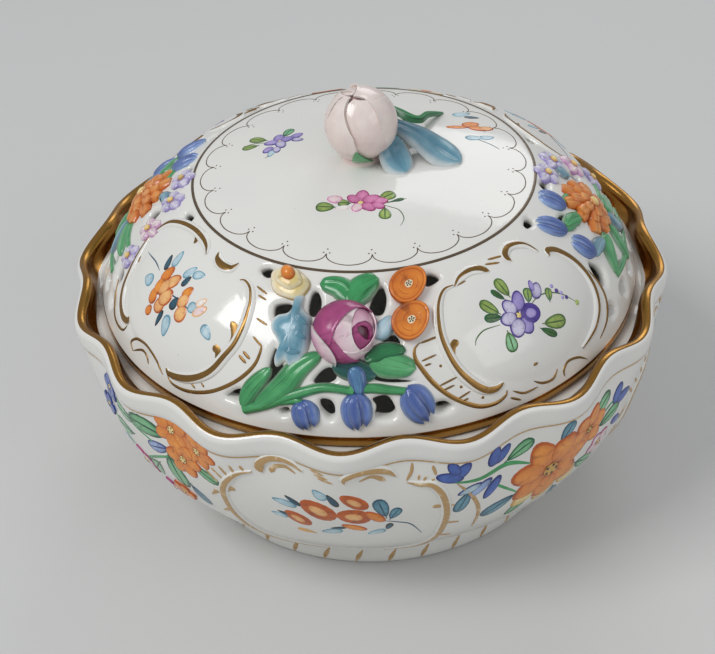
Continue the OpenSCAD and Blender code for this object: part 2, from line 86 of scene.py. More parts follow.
crownRadius = vase["crownRadius"]

# The shoulder is one arc from the lid's edge to the crown
shoulderRun = lidRadius - crownRadius
shoulderRise = ringHeight - edgeTop
halfTurn = math.radians(vase["shoulderTurn"])
arcRadius = math.hypot(shoulderRise, shoulderRun) / 2 / math.sin(halfTurn)
arcLength = arcRadius * 2 * halfTurn
edgeSlope = math.atan2(shoulderRise, shoulderRun) + halfTurn


def paint(red, green, blue):
    shares = [c / 255 for c in (red, green, blue)]
    linear = [c / 12.92 if c <= 0.04045 else ((c + 0.055) / 1.055) ** 2.4 for c in shares]
    return np.array(linear)


enamel = {
    "white": paint(236, 234, 228),
    "blush": paint(234, 212, 214),
    "magenta": paint(152, 46, 106),
    "wine": paint(88, 14, 54),
    "pink": paint(208, 124, 170),
    "orange": paint(228, 136, 52),
    "rust": paint(178, 82, 26),
    "apricot": paint(238, 178, 116),
    "yellow": paint(238, 212, 140),
    "ochre": paint(198, 150, 74),
    "blue": paint(66, 96, 172),
    "navy": paint(34, 48, 112),
    "sky": paint(150, 174, 220),
    "teal": paint(96, 146, 166),
    "deepTeal": paint(44, 84, 104),
    "mist": paint(180, 206, 216),
    "green": paint(60, 148, 88),
    "bottle": paint(22, 80, 52),
    "leaf": paint(122, 188, 136),
    "olive": paint(146, 170, 90),
    "moss": paint(66, 98, 46),
    "lilac": paint(158, 144, 204),
    "paleLilac": paint(200, 194, 222),
    "plum": paint(70, 52, 132),
    "soot": paint(44, 36, 30),
}


def mix(first, second, share):
    return np.asarray(first) * (1 - share) + np.asarray(second) * share


def ease(value, low, high):
    t = np.clip((value - low) / (high - low), 0, 1)
    return t * t * (3 - 2 * t)


def heading(degrees):
    turn = math.radians(degrees)
    return math.cos(turn), math.sin(turn)


# Surfaces: every painter works on a canvas(x, y, lift) in millimetres

def turned(radius, height, angle):
    a = np.radians(angle)
    return np.stack(np.broadcast_arrays(radius * np.sin(a), -radius * np.cos(a), height), axis=-1)


def shoulder(v, lift=0.0):
    slope = edgeSlope - 2 * halfTurn * np.asarray(v)
    radius = lidRadius + arcRadius * (np.sin(slope) - math.sin(edgeSlope)) + lift * np.sin(slope)
    height = edgeTop + arcRadius * (np.cos(slope) - math.cos(edgeSlope)) + lift * np.cos(slope)
    return radius, height


fieldRadius = float(shoulder(vase["fieldMiddle"])[0])


def fieldBulge(angle, v):
    x = np.radians(np.mod(angle, 90) - 45) * fieldRadius / vase["fieldWide"]
    y = (np.asarray(v) - vase["fieldMiddle"]) * arcLength / vase["fieldTall"]
    return vase["fieldBulge"] * np.clip(1 - x * x - y * y, 0, 1) ** 0.8


def lidPoint(angle, v, lift):
    radius, height = shoulder(v, lift + fieldBulge(angle, v))
    return turned(radius, height, angle)


def fieldCanvas(angle):
    def place(x, y, lift):
        turn = np.degrees(x / fieldRadius)
        return lidPoint(angle + turn, vase["fieldMiddle"] + y / arcLength, lift)
    return place


def panelCanvas(angle, relief=1.0, fade=0.0):
    # fade is the place up the shoulder where the relief has died away
    def place(x, y, lift):
        v = 0.5 + y / arcLength
        share = np.maximum(0.08, 1 - v / fade) if fade else 1.0
        raised = np.where(lift > 0, lift * relief * share, lift)
        return lidPoint(angle + np.degrees(x / shoulder(v)[0]), v, raised)
    return place


def spot(angle, v):
    return np.array([math.radians(angle) * float(shoulder(v)[0]), (v - 0.5) * arcLength])


def spots(places):
    return [spot(*place) for place in places]


def crownHeight(radius):
    return ringHeight + vase["crownRise"] * (1 - (radius / crownRadius) ** 2)


def crownCanvas(middleX, middleY, turn=0.0):
    c, s = heading(turn)

    def place(x, y, lift):
        px = middleX + c * x - s * y
        py = middleY + s * x + c * y
        return np.stack([px, py, crownHeight(np.hypot(px, py)) + lift], axis=-1)
    return place


def bowlWall(s):
    return (footRadius + (rimRadius - footRadius) * (1 - (1 - s) ** vase["belly"]),
            footHeight + (bowlHeight - footHeight) * s)


def wallNormal(s):
    run = (rimRadius - footRadius) * vase["belly"] * np.maximum(1 - s, 0) ** (vase["belly"] - 1)
    rise = bowlHeight - footHeight
    size = np.hypot(rise, run)
    return rise / size, -run / size


def lobeShare(s):
    return ease(s, vase["lobesStart"], 1)


wallRadius = 82.0        # the bowl's paint is laid out at this radius


def bowlCanvas(angle):
    def place(x, y, lift):
        a = angle + np.degrees(x / wallRadius)
        s = (y - footHeight) / (bowlHeight - footHeight)
        wave = lobeShare(s) * np.cos(vase["rimLobes"] * np.radians(a))
        out, up = wallNormal(s)
        radius, height = bowlWall(s)
        radius = radius + vase["lobeSwing"] * wave + lift * out
        return turned(radius, height - vase["lobeRise"] * wave + lift * up, a)
    return place


# Mesh heaps

def newHeap():
    return {"points": [], "tints": [], "marks": [], "faces": [], "count": 0}


def addRings(heap, points, tints, marks):
    # rows of points, each one closed into a ring and joined to the next
    rows, cols = points.shape[:2]
    index = heap["count"] + np.arange(rows * cols).reshape(rows, cols)
    ahead = np.roll(index, -1, axis=1)
    quads = np.stack([index[:-1], ahead[:-1], ahead[1:], index[1:]], axis=-1)
    heap["faces"].extend(quads.reshape(-1, 4).tolist())
    heap["points"].append(points.reshape(-1, 3))
    heap["tints"].append(np.broadcast_to(tints, (rows, cols, 3)).reshape(-1, 3))
    heap["marks"].append(np.broadcast_to(marks, (rows, cols, 2)).reshape(-1, 2))
    heap["count"] += rows * cols
    return index


def addTube(heap, loops, tints, marks):
    index = addRings(heap, loops, tints, marks)
    heap["faces"].append(index[0].tolist())
    heap["faces"].append(index[-1].tolist())


def spline(stops, shares, loop=False):
    stops = np.asarray(stops, float)
    count = len(stops)
    spans = count if loop else count - 1
    place = np.clip(np.asarray(shares, float) * spans, 0, spans - 1e-9)
    first = place.astype(int)
    t = place - first
    if stops.ndim == 2:
        t = t[:, None]

    def stop(i):
        return stops[i % count] if loop else stops[np.clip(i, 0, count - 1)]
    a, b, c, d = stop(first - 1), stop(first), stop(first + 1), stop(first + 2)
    return 0.5 * (2 * b + (c - a) * t + (2 * a - 5 * b + 4 * c - d) * t ** 2
                  + (3 * b - a - 3 * c + d) * t ** 3)


def addRelief(heap, canvas, spine, widths, heights, tints, rows, sides, sink, lift=0.0, groove=0.0,
              full=0.6, fade=0.0, root=None):
    # a half-round form lying along its spine, tints from its edge to its middle
    lift = spline([lift, lift] if np.ndim(lift) == 0 else lift, np.linspace(0, 1, rows))[:, None]
    t = np.linspace(0, 1, rows)
    path = spline(spine, t)
    along = np.gradient(path, axis=0)
    along /= np.linalg.norm(along, axis=1)[:, None] + 1e-9
    half = np.maximum(spline(widths, t), 0.04)[:, None] / 2
    tall = np.maximum(spline(heights, t), 0.0)[:, None]
    u = np.linspace(-1, 1, sides)
    x = path[:, :1] - along[:, 1:] * u * half
    y = path[:, 1:] + along[:, :1] * u * half
    crest = (1 - u ** 2) ** full - groove * np.exp(-(u / 0.2) ** 2)
    top = canvas(x, y, lift + tall * crest)
    low = canvas(x[:, [-1, 0]], y[:, [-1, 0]], np.repeat(lift - sink, 2, axis=1))
    edge = np.append(np.abs(u), [1, 1])[:, None]
    shade = mix(tints[1], tints[0], edge ** 1.6)
    shade = mix(shade, enamel["white"], fade * np.clip(4 * edge - 3, 0, 1))[None]
    if root is not None:        # the tint that the form starts from
        shade = mix(shade, root, ((1 - t) ** 1.5)[:, None, None])
    across = np.append(u * 0.5 + 0.5, [1, 0])
    marks = np.stack(np.broadcast_arrays(across[None, :], t[:, None]), axis=-1)
    addTube(heap, np.concatenate([top, low], axis=1), shade, marks)


def addDome(heap, canvas, outline, middle, profile, tints, side=None):
    # rings of one outline shrunk to its middle, profile rows are (share, lift);
    # side is (tint, direction, share), a painted shade that makes the form darker on one side
    outline = np.asarray(outline)
    middle = np.asarray(middle)
    shares = np.array([p[0] for p in profile])[:, None]
    lifts = np.array([p[1] for p in profile])[:, None]
    x = middle[0] + shares * (outline[:, 0] - middle[0])
    y = middle[1] + shares * (outline[:, 1] - middle[1])
    turn = np.linspace(0, 1, len(outline), endpoint=False)
    marks = np.stack(np.broadcast_arrays(turn[None, :], shares), axis=-1)
    shade = np.broadcast_to(np.array(tints)[:, None, :], (*x.shape, 3))
    if side:
        way = np.arctan2(outline[:, 1] - middle[1], outline[:, 0] - middle[0]) - math.radians(side[1])
        amount = side[2] * np.clip(np.cos(way), 0, 1) * np.minimum(1, 1.6 * shares)
        shade = mix(shade, side[0], amount[:, :, None])
    addTube(heap, canvas(x, y, lifts + 0 * x), shade, marks)


petalSteps = 16
dotSteps = 12


def petalOutline(x, y, length, width, turn, point):
    k = np.linspace(0, 2 * math.pi, petalSteps, endpoint=False)
    along = length * (1 - np.cos(k)) / 2
    across = width / 2 * np.sin(k) * (1 - point * np.cos(k + math.pi))
    c, s = heading(turn)
    return np.stack([x + c * along - s * across, y + s * along + c * across], axis=1)


def roundOutline(x, y, radius, lobes=0, depth=0.0, turn=0.0, steps=24):
    k = np.linspace(0, 2 * math.pi, steps, endpoint=False)
    r = radius * (1 + depth * np.cos(lobes * k))
    a = k + math.radians(turn)
    return np.stack([x + r * np.cos(a), y + r * np.sin(a)], axis=1)


def addPetal(heap, canvas, x, y, length, width, turn, deep, light, lift, point=0.3):
    # a brushed petal, pale inside with a dark outline
    reach = 0.55 * length
    c, s = heading(turn)
    profile = [(0.08, lift), (0.5, lift), (0.74, 0.95 * lift), (0.86, 0.8 * lift), (1.0, 0.0),
               (1.0, -0.15)]
    tints = [light, mix(light, deep, 0.1), mix(light, deep, 0.35), mix(light, deep, 0.95), deep, deep]
    outline = petalOutline(x, y, length, width, turn, point)
    addDome(heap, canvas, outline, (x + reach * c, y + reach * s), profile, tints)


def addDot(heap, canvas, x, y, radius, tint, lift, base=0.0):
    profile = [(0.15, base + lift), (0.6, base + 0.8 * lift), (1.0, base), (1.0, base - 0.12)]
    addDome(heap, canvas, roundOutline(x, y, radius, steps=dotSteps), (x, y), profile, [tint] * 4)


def addStroke(heap, canvas, points, width, tint, height, lift=0.0):
    addRelief(heap, canvas, points, [0.4 * width, width, width, 0.35 * width], [height] * 2,
              (tint, tint), rows=max(8, 7 * len(points)), sides=5, sink=0.15, lift=lift)


def addLeaf(heap, canvas, x, y, length, width, turn, deep, light, lift):
    # a petal that is widest towards its tip, with a dark rib
    addPetal(heap, canvas, x, y, length, width, turn, deep, light, lift, point=-0.3)
    c, s = heading(turn)
    rib = [(x + k * length * c, y + k * length * s) for k in (-0.1, 0.45, 0.9)]
    addStroke(heap, canvas, rib, 0.09 * width + 0.12, deep, lift=0.9 * lift, height=0.08)


def addBlossom(heap, canvas, x, y, size, petals, deep, light, eye, turn, lift):
    width = 2.6 * size / petals
    step = 0.06 * size
    for k in range(petals):
        way = turn + 360 * k / petals
        c, s = heading(way)
        addPetal(heap, canvas, x + step * c, y + step * s, 0.5 * size, width, way, deep, light,
                 lift + 0.05 * (k % 2), point=0.15)
    addDot(heap, canvas, x, y, 0.1 * size, eye, lift=0.12, base=lift + 0.05)


def addShell(heap, bud, around, span, low, high, radius, tints, thick, drop, bow, rows, cols,
             lip=0.0, lean=0.0):
    # one petal of a bud, from its base at polar angle high to its edge at low, drop is how far
    # the edge falls towards its sides, and lip how far it rolls out
    u = np.linspace(-1, 1, cols)
    w = np.linspace(0, 1, rows)[:, None]
    tip = low + drop * (high - low) * np.abs(u) ** bow
    polar = np.radians(high + (tip - high) * w)
    turn = np.radians(around + span / 2 * u)
    base = radius + lip * np.exp(-((1 - w) / 0.09) ** 2) + lean * u
    thin = thick * (1 - 0.6 * w ** 9)

    def skin(r):
        side = r * np.sin(polar)
        up = bud["tall"] * r * np.cos(polar)
        return bud["place"](np.stack([side * np.cos(turn), side * np.sin(turn), up], axis=-1))
    loops = np.concatenate([skin(base), skin(base - thin)[:, ::-1]], axis=1)
    blend = np.clip(0.75 * w ** 1.4 + 0.35 * np.abs(u) ** 3, 0, 1)[:, :, None]
    shade = mix(tints[0], tints[1], blend)
    marks = np.stack(np.broadcast_arrays(u * 0.5 + 0.5, w), axis=-1)
    addTube(heap, loops, np.concatenate([shade, shade[:, ::-1]], axis=1),
            np.concatenate([marks, marks[:, ::-1]], axis=1))


def newMesh(name, heap):
    mesh = bpy.data.meshes.new(name)
    mesh.from_pydata((np.concatenate(heap["points"]) * mm).tolist(), [], heap["faces"])
    corners = np.empty(len(mesh.loops), dtype=np.int32)
    mesh.loops.foreach_get("vertex_index", corners)
    uv = mesh.uv_layers.new(name="UVMap")
    uv.data.foreach_set("uv", np.concatenate(heap["marks"])[corners].ravel().astype(np.float32))
    tints = np.concatenate(heap["tints"])
    tint = mesh.color_attributes.new("tint", "FLOAT_COLOR", "POINT")
    opaque = np.column_stack([tints, np.ones(len(tints))])
    tint.data.foreach_set("color", opaque.ravel().astype(np.float32))
    return mesh


def finishMesh(mesh, sharp=60, weld=0.0):
    work = bmesh.new()
    work.from_mesh(mesh)
    if weld:
        bmesh.ops.remove_doubles(work, verts=work.verts, dist=weld * mm)
    bmesh.ops.recalc_face_normals(work, faces=work.faces)
    work.to_mesh(mesh)
    work.free()
    mesh.polygons.foreach_set("use_smooth", [True] * len(mesh.polygons))
    mesh.set_sharp_from_angle(angle=math.radians(sharp))


def newPiece(name, mesh, material, body, nodes=()):
    mesh.materials.clear()
    mesh.materials.append(material)
    piece = bpy.data.objects.new(name, mesh)
    scene.collection.objects.link(piece)
    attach(piece, body)
    if nodes:
        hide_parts(*nodes)


def heapPiece(name, heap, material, body, nodes=(), sharp=60):
    mesh = newMesh(name, heap)
    finishMesh(mesh, sharp)
    newPiece(name, mesh, material, body, nodes)


# Shader groups: glaze ripple, brushwork and gold wear

def newGroup(name, inputs, outputs):
    tree = bpy.data.node_groups.new(name, "ShaderNodeTree")
    for label, kind, value in inputs:
        socket = tree.interface.new_socket(label, in_out="INPUT", socket_type=kind)
        if value is not None:
            socket.default_value = value
    for label, kind in outputs:
        tree.interface.new_socket(label, in_out="OUTPUT", socket_type=kind)
    return tree, tree.nodes.new("NodeGroupInput"), tree.nodes.new("NodeGroupOutput")


def addNode(tree, kind, settings=None, **sockets):
    node = tree.nodes.new(kind)
    for name, value in (settings or {}).items():
        setattr(node, name, value)
    for name, value in sockets.items():
        numbered = name[0] == "i" and name[1:].isdigit()        # i0 is the first socket
        socket = node.inputs[int(name[1:]) if numbered else name]
        if isinstance(value, bpy.types.NodeSocket):
            tree.links.new(value, socket)
        else:
            socket.default_value = value
    return node


def addNoise(tree, vector, scale, detail):
    node = addNode(tree, "ShaderNodeTexNoise", Vector=vector, Scale=scale, Detail=detail)
    return node.outputs["Fac"]


def addRange(tree, value, low, high, first, second):
    node = addNode(tree, "ShaderNodeMapRange", i0=value, i1=low, i2=high, i3=first, i4=second)
    return node.outputs["Result"]


def addMath(tree, operation, first, second=0.0):
    return addNode(tree, "ShaderNodeMath", {"operation": operation}, i0=first, i1=second).outputs[0]


def addMix(tree, share, first, second, blend="MIX"):
    node = addNode(tree, "ShaderNodeMix", {"data_type": "RGBA", "blend_type": blend},
                   i0=share, i6=first, i7=second)
    return node.outputs[2]


def colour(tint):
    return (float(tint[0]), float(tint[1]), float(tint[2]), 1.0)


def glazeRipple():
    tree, given, put = newGroup("glazeRipple", [
        ("Place", "NodeSocketVector", None),
        ("Wave", "NodeSocketFloat", 70.0),
        ("Pits", "NodeSocketFloat", 900.0),
    ], [("Height", "NodeSocketFloat"), ("Tone", "NodeSocketFloat"), ("Specks", "NodeSocketFloat")])
    place = given.outputs["Place"]
    wave = addNoise(tree, place, given.outputs["Wave"], 3.0)
    pits = addNoise(tree, place, given.outputs["Pits"], 2.0)
    height = addMath(tree, "ADD", wave, addMath(tree, "MULTIPLY", pits, 0.06))
    specks = addRange(tree, pits, 0.74, 0.8, 0.0, 1.0)
    tree.links.new(height, put.inputs["Height"])
    tree.links.new(wave, put.inputs["Tone"])
    tree.links.new(specks, put.inputs["Specks"])
    return tree


def brushwork():
    tree, given, put = newGroup("brushwork", [
        ("Tint", "NodeSocketColor", None),
        ("Marks", "NodeSocketVector", None),
        ("Place", "NodeSocketVector", None),
        ("Streaks", "NodeSocketFloat", 0.3),
        ("Wash", "NodeSocketFloat", 0.3),
    ], [("Color", "NodeSocketColor"), ("Height", "NodeSocketFloat"), ("Roughness", "NodeSocketFloat")])
    stretch = addNode(tree, "ShaderNodeVectorMath", {"operation": "MULTIPLY"},
                      i0=given.outputs["Marks"], i1=(13.0, 1.2, 1.0)).outputs[0]
    shifted = addNode(tree, "ShaderNodeVectorMath", {"operation": "MULTIPLY_ADD"},
                      i0=given.outputs["Place"], i1=(60.0, 60.0, 60.0), i2=stretch).outputs[0]
    streak = addRange(tree, addNoise(tree, shifted, 1.0, 3.0), 0.34, 0.72, -1.0, 1.0)
    wash = addRange(tree, addNoise(tree, given.outputs["Place"], 260.0, 3.0), 0.4, 0.72, 0.0, 1.0)
    dark = addMix(tree, 1.0, given.outputs["Tint"], colour(paint(138, 130, 134)), "MULTIPLY")
    darker = addMath(tree, "MULTIPLY", addMath(tree, "MAXIMUM", streak), given.outputs["Streaks"])
    first = addMix(tree, darker, given.outputs["Tint"], dark)
    paler = addMath(tree, "MULTIPLY", wash, given.outputs["Wash"])
    second = addMix(tree, paler, first, colour(enamel["white"]), "SOFT_LIGHT")
    tree.links.new(second, put.inputs["Color"])
    tree.links.new(addMath(tree, "MULTIPLY_ADD", streak, 0.3), put.inputs["Height"])
    tree.links.new(addRange(tree, wash, 0.0, 1.0, 0.13, 0.22), put.inputs["Roughness"])
    return tree


def goldWear():
    tree, given, put = newGroup("goldWear", [
        ("Place", "NodeSocketVector", None),
        ("Gold", "NodeSocketColor", None),
        ("Worn", "NodeSocketColor", None),
        ("Wear", "NodeSocketFloat", 0.4),
    ], [("Color", "NodeSocketColor"), ("Mask", "NodeSocketFloat"), ("Roughness", "NodeSocketFloat")])
    rub = addNoise(tree, given.outputs["Place"], 420.0, 4.0)
    edge = addMath(tree, "SUBTRACT", 0.82, addMath(tree, "MULTIPLY", given.outputs["Wear"], 0.4))
    mask = addRange(tree, addMath(tree, "SUBTRACT", rub, edge), -0.05, 0.06, 1.0, 0.0)
    rubbed = addMix(tree, mask, given.outputs["Worn"], given.outputs["Gold"])
    tree.links.new(rubbed, put.inputs["Color"])
    tree.links.new(mask, put.inputs["Mask"])
    tree.links.new(addRange(tree, rub, 0.3, 0.7, 0.2, 0.42), put.inputs["Roughness"])
    return tree


groups = {"glaze": glazeRipple(), "brush": brushwork(), "gold": goldWear()}


def newMaterial(name):
    material = bpy.data.materials.new(name)
    material.use_nodes = True
    tree = material.node_tree
    shader = tree.nodes["Principled BSDF"]
    shader.inputs["IOR"].default_value = 1.52
    return material, tree, shader


def useGroup(tree, group, **sockets):
    return addNode(tree, "ShaderNodeGroup", {"node_tree": group}, **sockets)


def addBump(tree, shader, height, strength, distance):
    bump = addNode(tree, "ShaderNodeBump", Strength=strength, Distance=distance * mm, Height=height)
    tree.links.new(bump.outputs["Normal"], shader.inputs["Normal"])


def porcelainGlaze(name, gilt=False):
    tints = {"warm": paint(230, 228, 221), "cool": paint(224, 224, 220), "speck": paint(150, 140, 128),
             "gold": paint(168, 124, 62)}
    material, tree, shader = newMaterial(name)
    place = addNode(tree, "ShaderNodeTexCoord").outputs["Object"]
    glaze = useGroup(tree, groups["glaze"], Place=place, Wave=55.0, Pits=800.0)
    tone = addMix(tree, glaze.outputs["Tone"], colour(tints["warm"]), colour(tints["cool"]))
    specks = addMath(tree, "MULTIPLY", glaze.outputs["Specks"], 0.25)
    body = addMix(tree, specks, tone, colour(tints["speck"]))
    rough = addRange(tree, glaze.outputs["Tone"], 0.3, 0.7, 0.07, 0.14)
    if gilt:
        share = addNode(tree, "ShaderNodeAttribute", {"attribute_name": "gilt"}).outputs["Fac"]
        worn = useGroup(tree, groups["gold"], Place=place, Wear=0.1)
        crisp = addRange(tree, share, 0.4, 0.6, 0.0, 1.0)
        mask = addMath(tree, "MULTIPLY", crisp, worn.outputs["Mask"])
        body = addMix(tree, mask, body, colour(tints["gold"]))
        tree.links.new(mask, shader.inputs["Metallic"])
        rough = addMath(tree, "ADD", rough, addMath(tree, "MULTIPLY", mask, 0.16))
    tree.links.new(body, shader.inputs["Base Color"])
    tree.links.new(rough, shader.inputs["Roughness"])
    addBump(tree, shader, glaze.outputs["Height"], 0.35, 0.5)
    return material


def enamelPaint(name, streaks, wash, bump):
    material, tree, shader = newMaterial(name)
    place = addNode(tree, "ShaderNodeTexCoord")
    tint = addNode(tree, "ShaderNodeAttribute", {"attribute_name": "tint"}).outputs["Color"]
    brush = useGroup(tree, groups["brush"], Tint=tint, Marks=place.outputs["UV"],
                     Place=place.outputs["Object"], Streaks=streaks, Wash=wash)
    tree.links.new(brush.outputs["Color"], shader.inputs["Base Color"])
    tree.links.new(brush.outputs["Roughness"], shader.inputs["Roughness"])
    addBump(tree, shader, brush.outputs["Height"], bump, 0.15)
    return material


def goldLine(name, gold, worn, wear, metal):
    material, tree, shader = newMaterial(name)
    place = addNode(tree, "ShaderNodeTexCoord").outputs["Object"]
    rub = useGroup(tree, groups["gold"], Place=place, Gold=colour(gold), Worn=colour(worn), Wear=wear)
    tree.links.new(rub.outputs["Color"], shader.inputs["Base Color"])
    tree.links.new(rub.outputs["Roughness"], shader.inputs["Roughness"])
    tree.links.new(addMath(tree, "MULTIPLY", rub.outputs["Mask"], metal), shader.inputs["Metallic"])
    return material


materials = {
    "porcelain": porcelainGlaze("porcelainGlaze"),
    "giltEdged": porcelainGlaze("giltEdgedGlaze", gilt=True),
    "relief": enamelPaint("enamelRelief", 0.6, 0.6, 0.35),
    "petal": enamelPaint("petalGlaze", 0.1, 0.5, 0.1),
    "brushed": enamelPaint("enamelBrushed", 0.5, 0.9, 0.25),
    "gilt": goldLine("giltLine", paint(142, 108, 58), paint(176, 142, 92), 0.3, 0.75),
    "ochreGold": goldLine("ochreGold", paint(190, 156, 108), paint(222, 202, 168), 0.45, 0.25),
    "lace": goldLine("laceLine", paint(98, 82, 62), paint(128, 112, 90), 0.3, 0.4),
}
print("materials ready")


# Geometry Nodes

def newNodes(name, inputs):
    tree = bpy.data.node_groups.new(name, "GeometryNodeTree")
    tree.interface.new_socket("Geometry", in_out="INPUT", socket_type="NodeSocketGeometry")
    for label, kind in inputs:
        tree.interface.new_socket(label, in_out="INPUT", socket_type=kind)
    tree.interface.new_socket("Geometry", in_out="OUTPUT", socket_type="NodeSocketGeometry")
    return tree, tree.nodes.new("NodeGroupInput").outputs, tree.nodes.new("NodeGroupOutput").inputs


def runNodes(name, mesh, tree, values):
    # a mesh put through a tree, given back as a plain mesh
    carrier = bpy.data.objects.new(name, mesh)
    scene.collection.objects.link(carrier)
    modifier = carrier.modifiers.new(tree.name, "NODES")
    modifier.node_group = tree
    for item in tree.interface.items_tree:
        if item.in_out == "INPUT" and item.name in values:
            modifier[item.identifier] = values[item.name]
    carrier.update_tag()
    bpy.context.view_layer.update()
    graph = bpy.context.evaluated_depsgraph_get()
    made = bpy.data.meshes.new_from_object(carrier.evaluated_get(graph))
    carrier.modifiers.remove(modifier)
    bpy.data.objects.remove(carrier)
    made.name = name
    return made


def readShare(tree, name):
    node = addNode(tree, "GeometryNodeInputNamedAttribute", {"data_type": "FLOAT"}, Name=name)
    return node.outputs[0]


def lobedRim():
    tree, given, put = newNodes("lobedRim", [
        ("Lobes", "NodeSocketInt"), ("Swing", "NodeSocketFloat"), ("Rise", "NodeSocketFloat"),
        ("Glaze", "NodeSocketMaterial"),
    ])
    share = readShare(tree, "lobe")
    angle = readShare(tree, "angle")
    phase = addMath(tree, "MULTIPLY", angle, given["Lobes"])
    wave = addMath(tree, "MULTIPLY", share, addMath(tree, "COSINE", phase))
    out = addMath(tree, "MULTIPLY", wave, given["Swing"])
    rise = addMath(tree, "MULTIPLY", wave, addMath(tree, "MULTIPLY", given["Rise"], -1.0))
    front = addMath(tree, "MULTIPLY", addMath(tree, "COSINE", angle), -1.0)
    x = addMath(tree, "MULTIPLY", out, addMath(tree, "SINE", angle))
    y = addMath(tree, "MULTIPLY", out, front)
    offset = addNode(tree, "ShaderNodeCombineXYZ", X=x, Y=y, Z=rise).outputs[0]
    moved = addNode(tree, "GeometryNodeSetPosition", Geometry=given["Geometry"], Offset=offset)
    real = addNode(tree, "GeometryNodeRealizeInstances", Geometry=moved.outputs[0]).outputs[0]
    done = addNode(tree, "GeometryNodeSetMaterial", Geometry=real, Material=given["Glaze"]).outputs[0]
    tree.links.new(done, put["Geometry"])
    return tree


def ringOfCopies():
    tree, given, put = newNodes("ringOfCopies", [
        ("Count", "NodeSocketInt"), ("Finish", "NodeSocketMaterial"),
    ])
    points = addNode(tree, "GeometryNodePoints", Count=given["Count"]).outputs[0]
    index = addNode(tree, "GeometryNodeInputIndex").outputs[0]
    step = addMath(tree, "DIVIDE", 2 * math.pi, given["Count"])
    spin = addNode(tree, "ShaderNodeCombineXYZ", Z=addMath(tree, "MULTIPLY", index, step)).outputs[0]
    copies = addNode(tree, "GeometryNodeInstanceOnPoints", Points=points, Instance=given["Geometry"],
                     Rotation=spin).outputs[0]
    real = addNode(tree, "GeometryNodeRealizeInstances", Geometry=copies).outputs[0]
    done = addNode(tree, "GeometryNodeSetMaterial", Geometry=real, Material=given["Finish"]).outputs[0]
    tree.links.new(done, put["Geometry"])
    return tree


trees = {"lobedRim": lobedRim(), "ringOfCopies": ringOfCopies()}


def ringPiece(name, heap, count, material, body):
    values = {"Count": count, "Finish": material}
    mesh = runNodes(name, newMesh(name, heap), trees["ringOfCopies"], values)
    finishMesh(mesh)
    newPiece(name, mesh, material, body)


def stepAngles(steps):
    return np.arange(steps) * 360 / steps


def revolved(rows, steps):
    # rows start with (radius, height), and are closed where they reach the axis
    rows = np.array(rows)
    heap = newHeap()
    points = turned(rows[:, :1], rows[:, 1:2], stepAngles(steps)[None, :])
    index = addRings(heap, points, enamel["white"], np.zeros(2))
    for row in (0, -1):
        if rows[row, 0] < 1.0:
            heap["faces"].append(index[row].tolist())
    return heap


def addShare(mesh, name, values):
    share = mesh.attributes.new(name, "FLOAT", "POINT")
    share.data.foreach_set("value", np.asarray(values, dtype=np.float32))


def turnedPiece(name, rows, steps, material, body, nodes=(), sharp=60):
    mesh = newMesh(name, revolved(rows, steps))
    finishMesh(mesh, sharp, weld=0.001)
    newPiece(name, mesh, materials[material], body, nodes)


def lobedPiece(name, rows, steps, material, nodes=(), sharp=60):
    # rows are (radius, height, lobe share, gilt share)
    rows = np.array(rows)
    mesh = newMesh(name, revolved(rows, steps))
    addShare(mesh, "lobe", np.repeat(rows[:, 2], steps))
    addShare(mesh, "gilt", np.repeat(rows[:, 3], steps))
    addShare(mesh, "angle", np.tile(np.radians(stepAngles(steps)), len(rows)))
    values = {"Lobes": vase["rimLobes"], "Swing": vase["lobeSwing"] * mm,
              "Rise": vase["lobeRise"] * mm, "Glaze": materials[material]}
    mesh = runNodes(name, mesh, trees["lobedRim"], values)
    finishMesh(mesh, sharp, weld=0.001)
    newPiece(name, mesh, materials[material], "bowl", nodes)


# Bowl

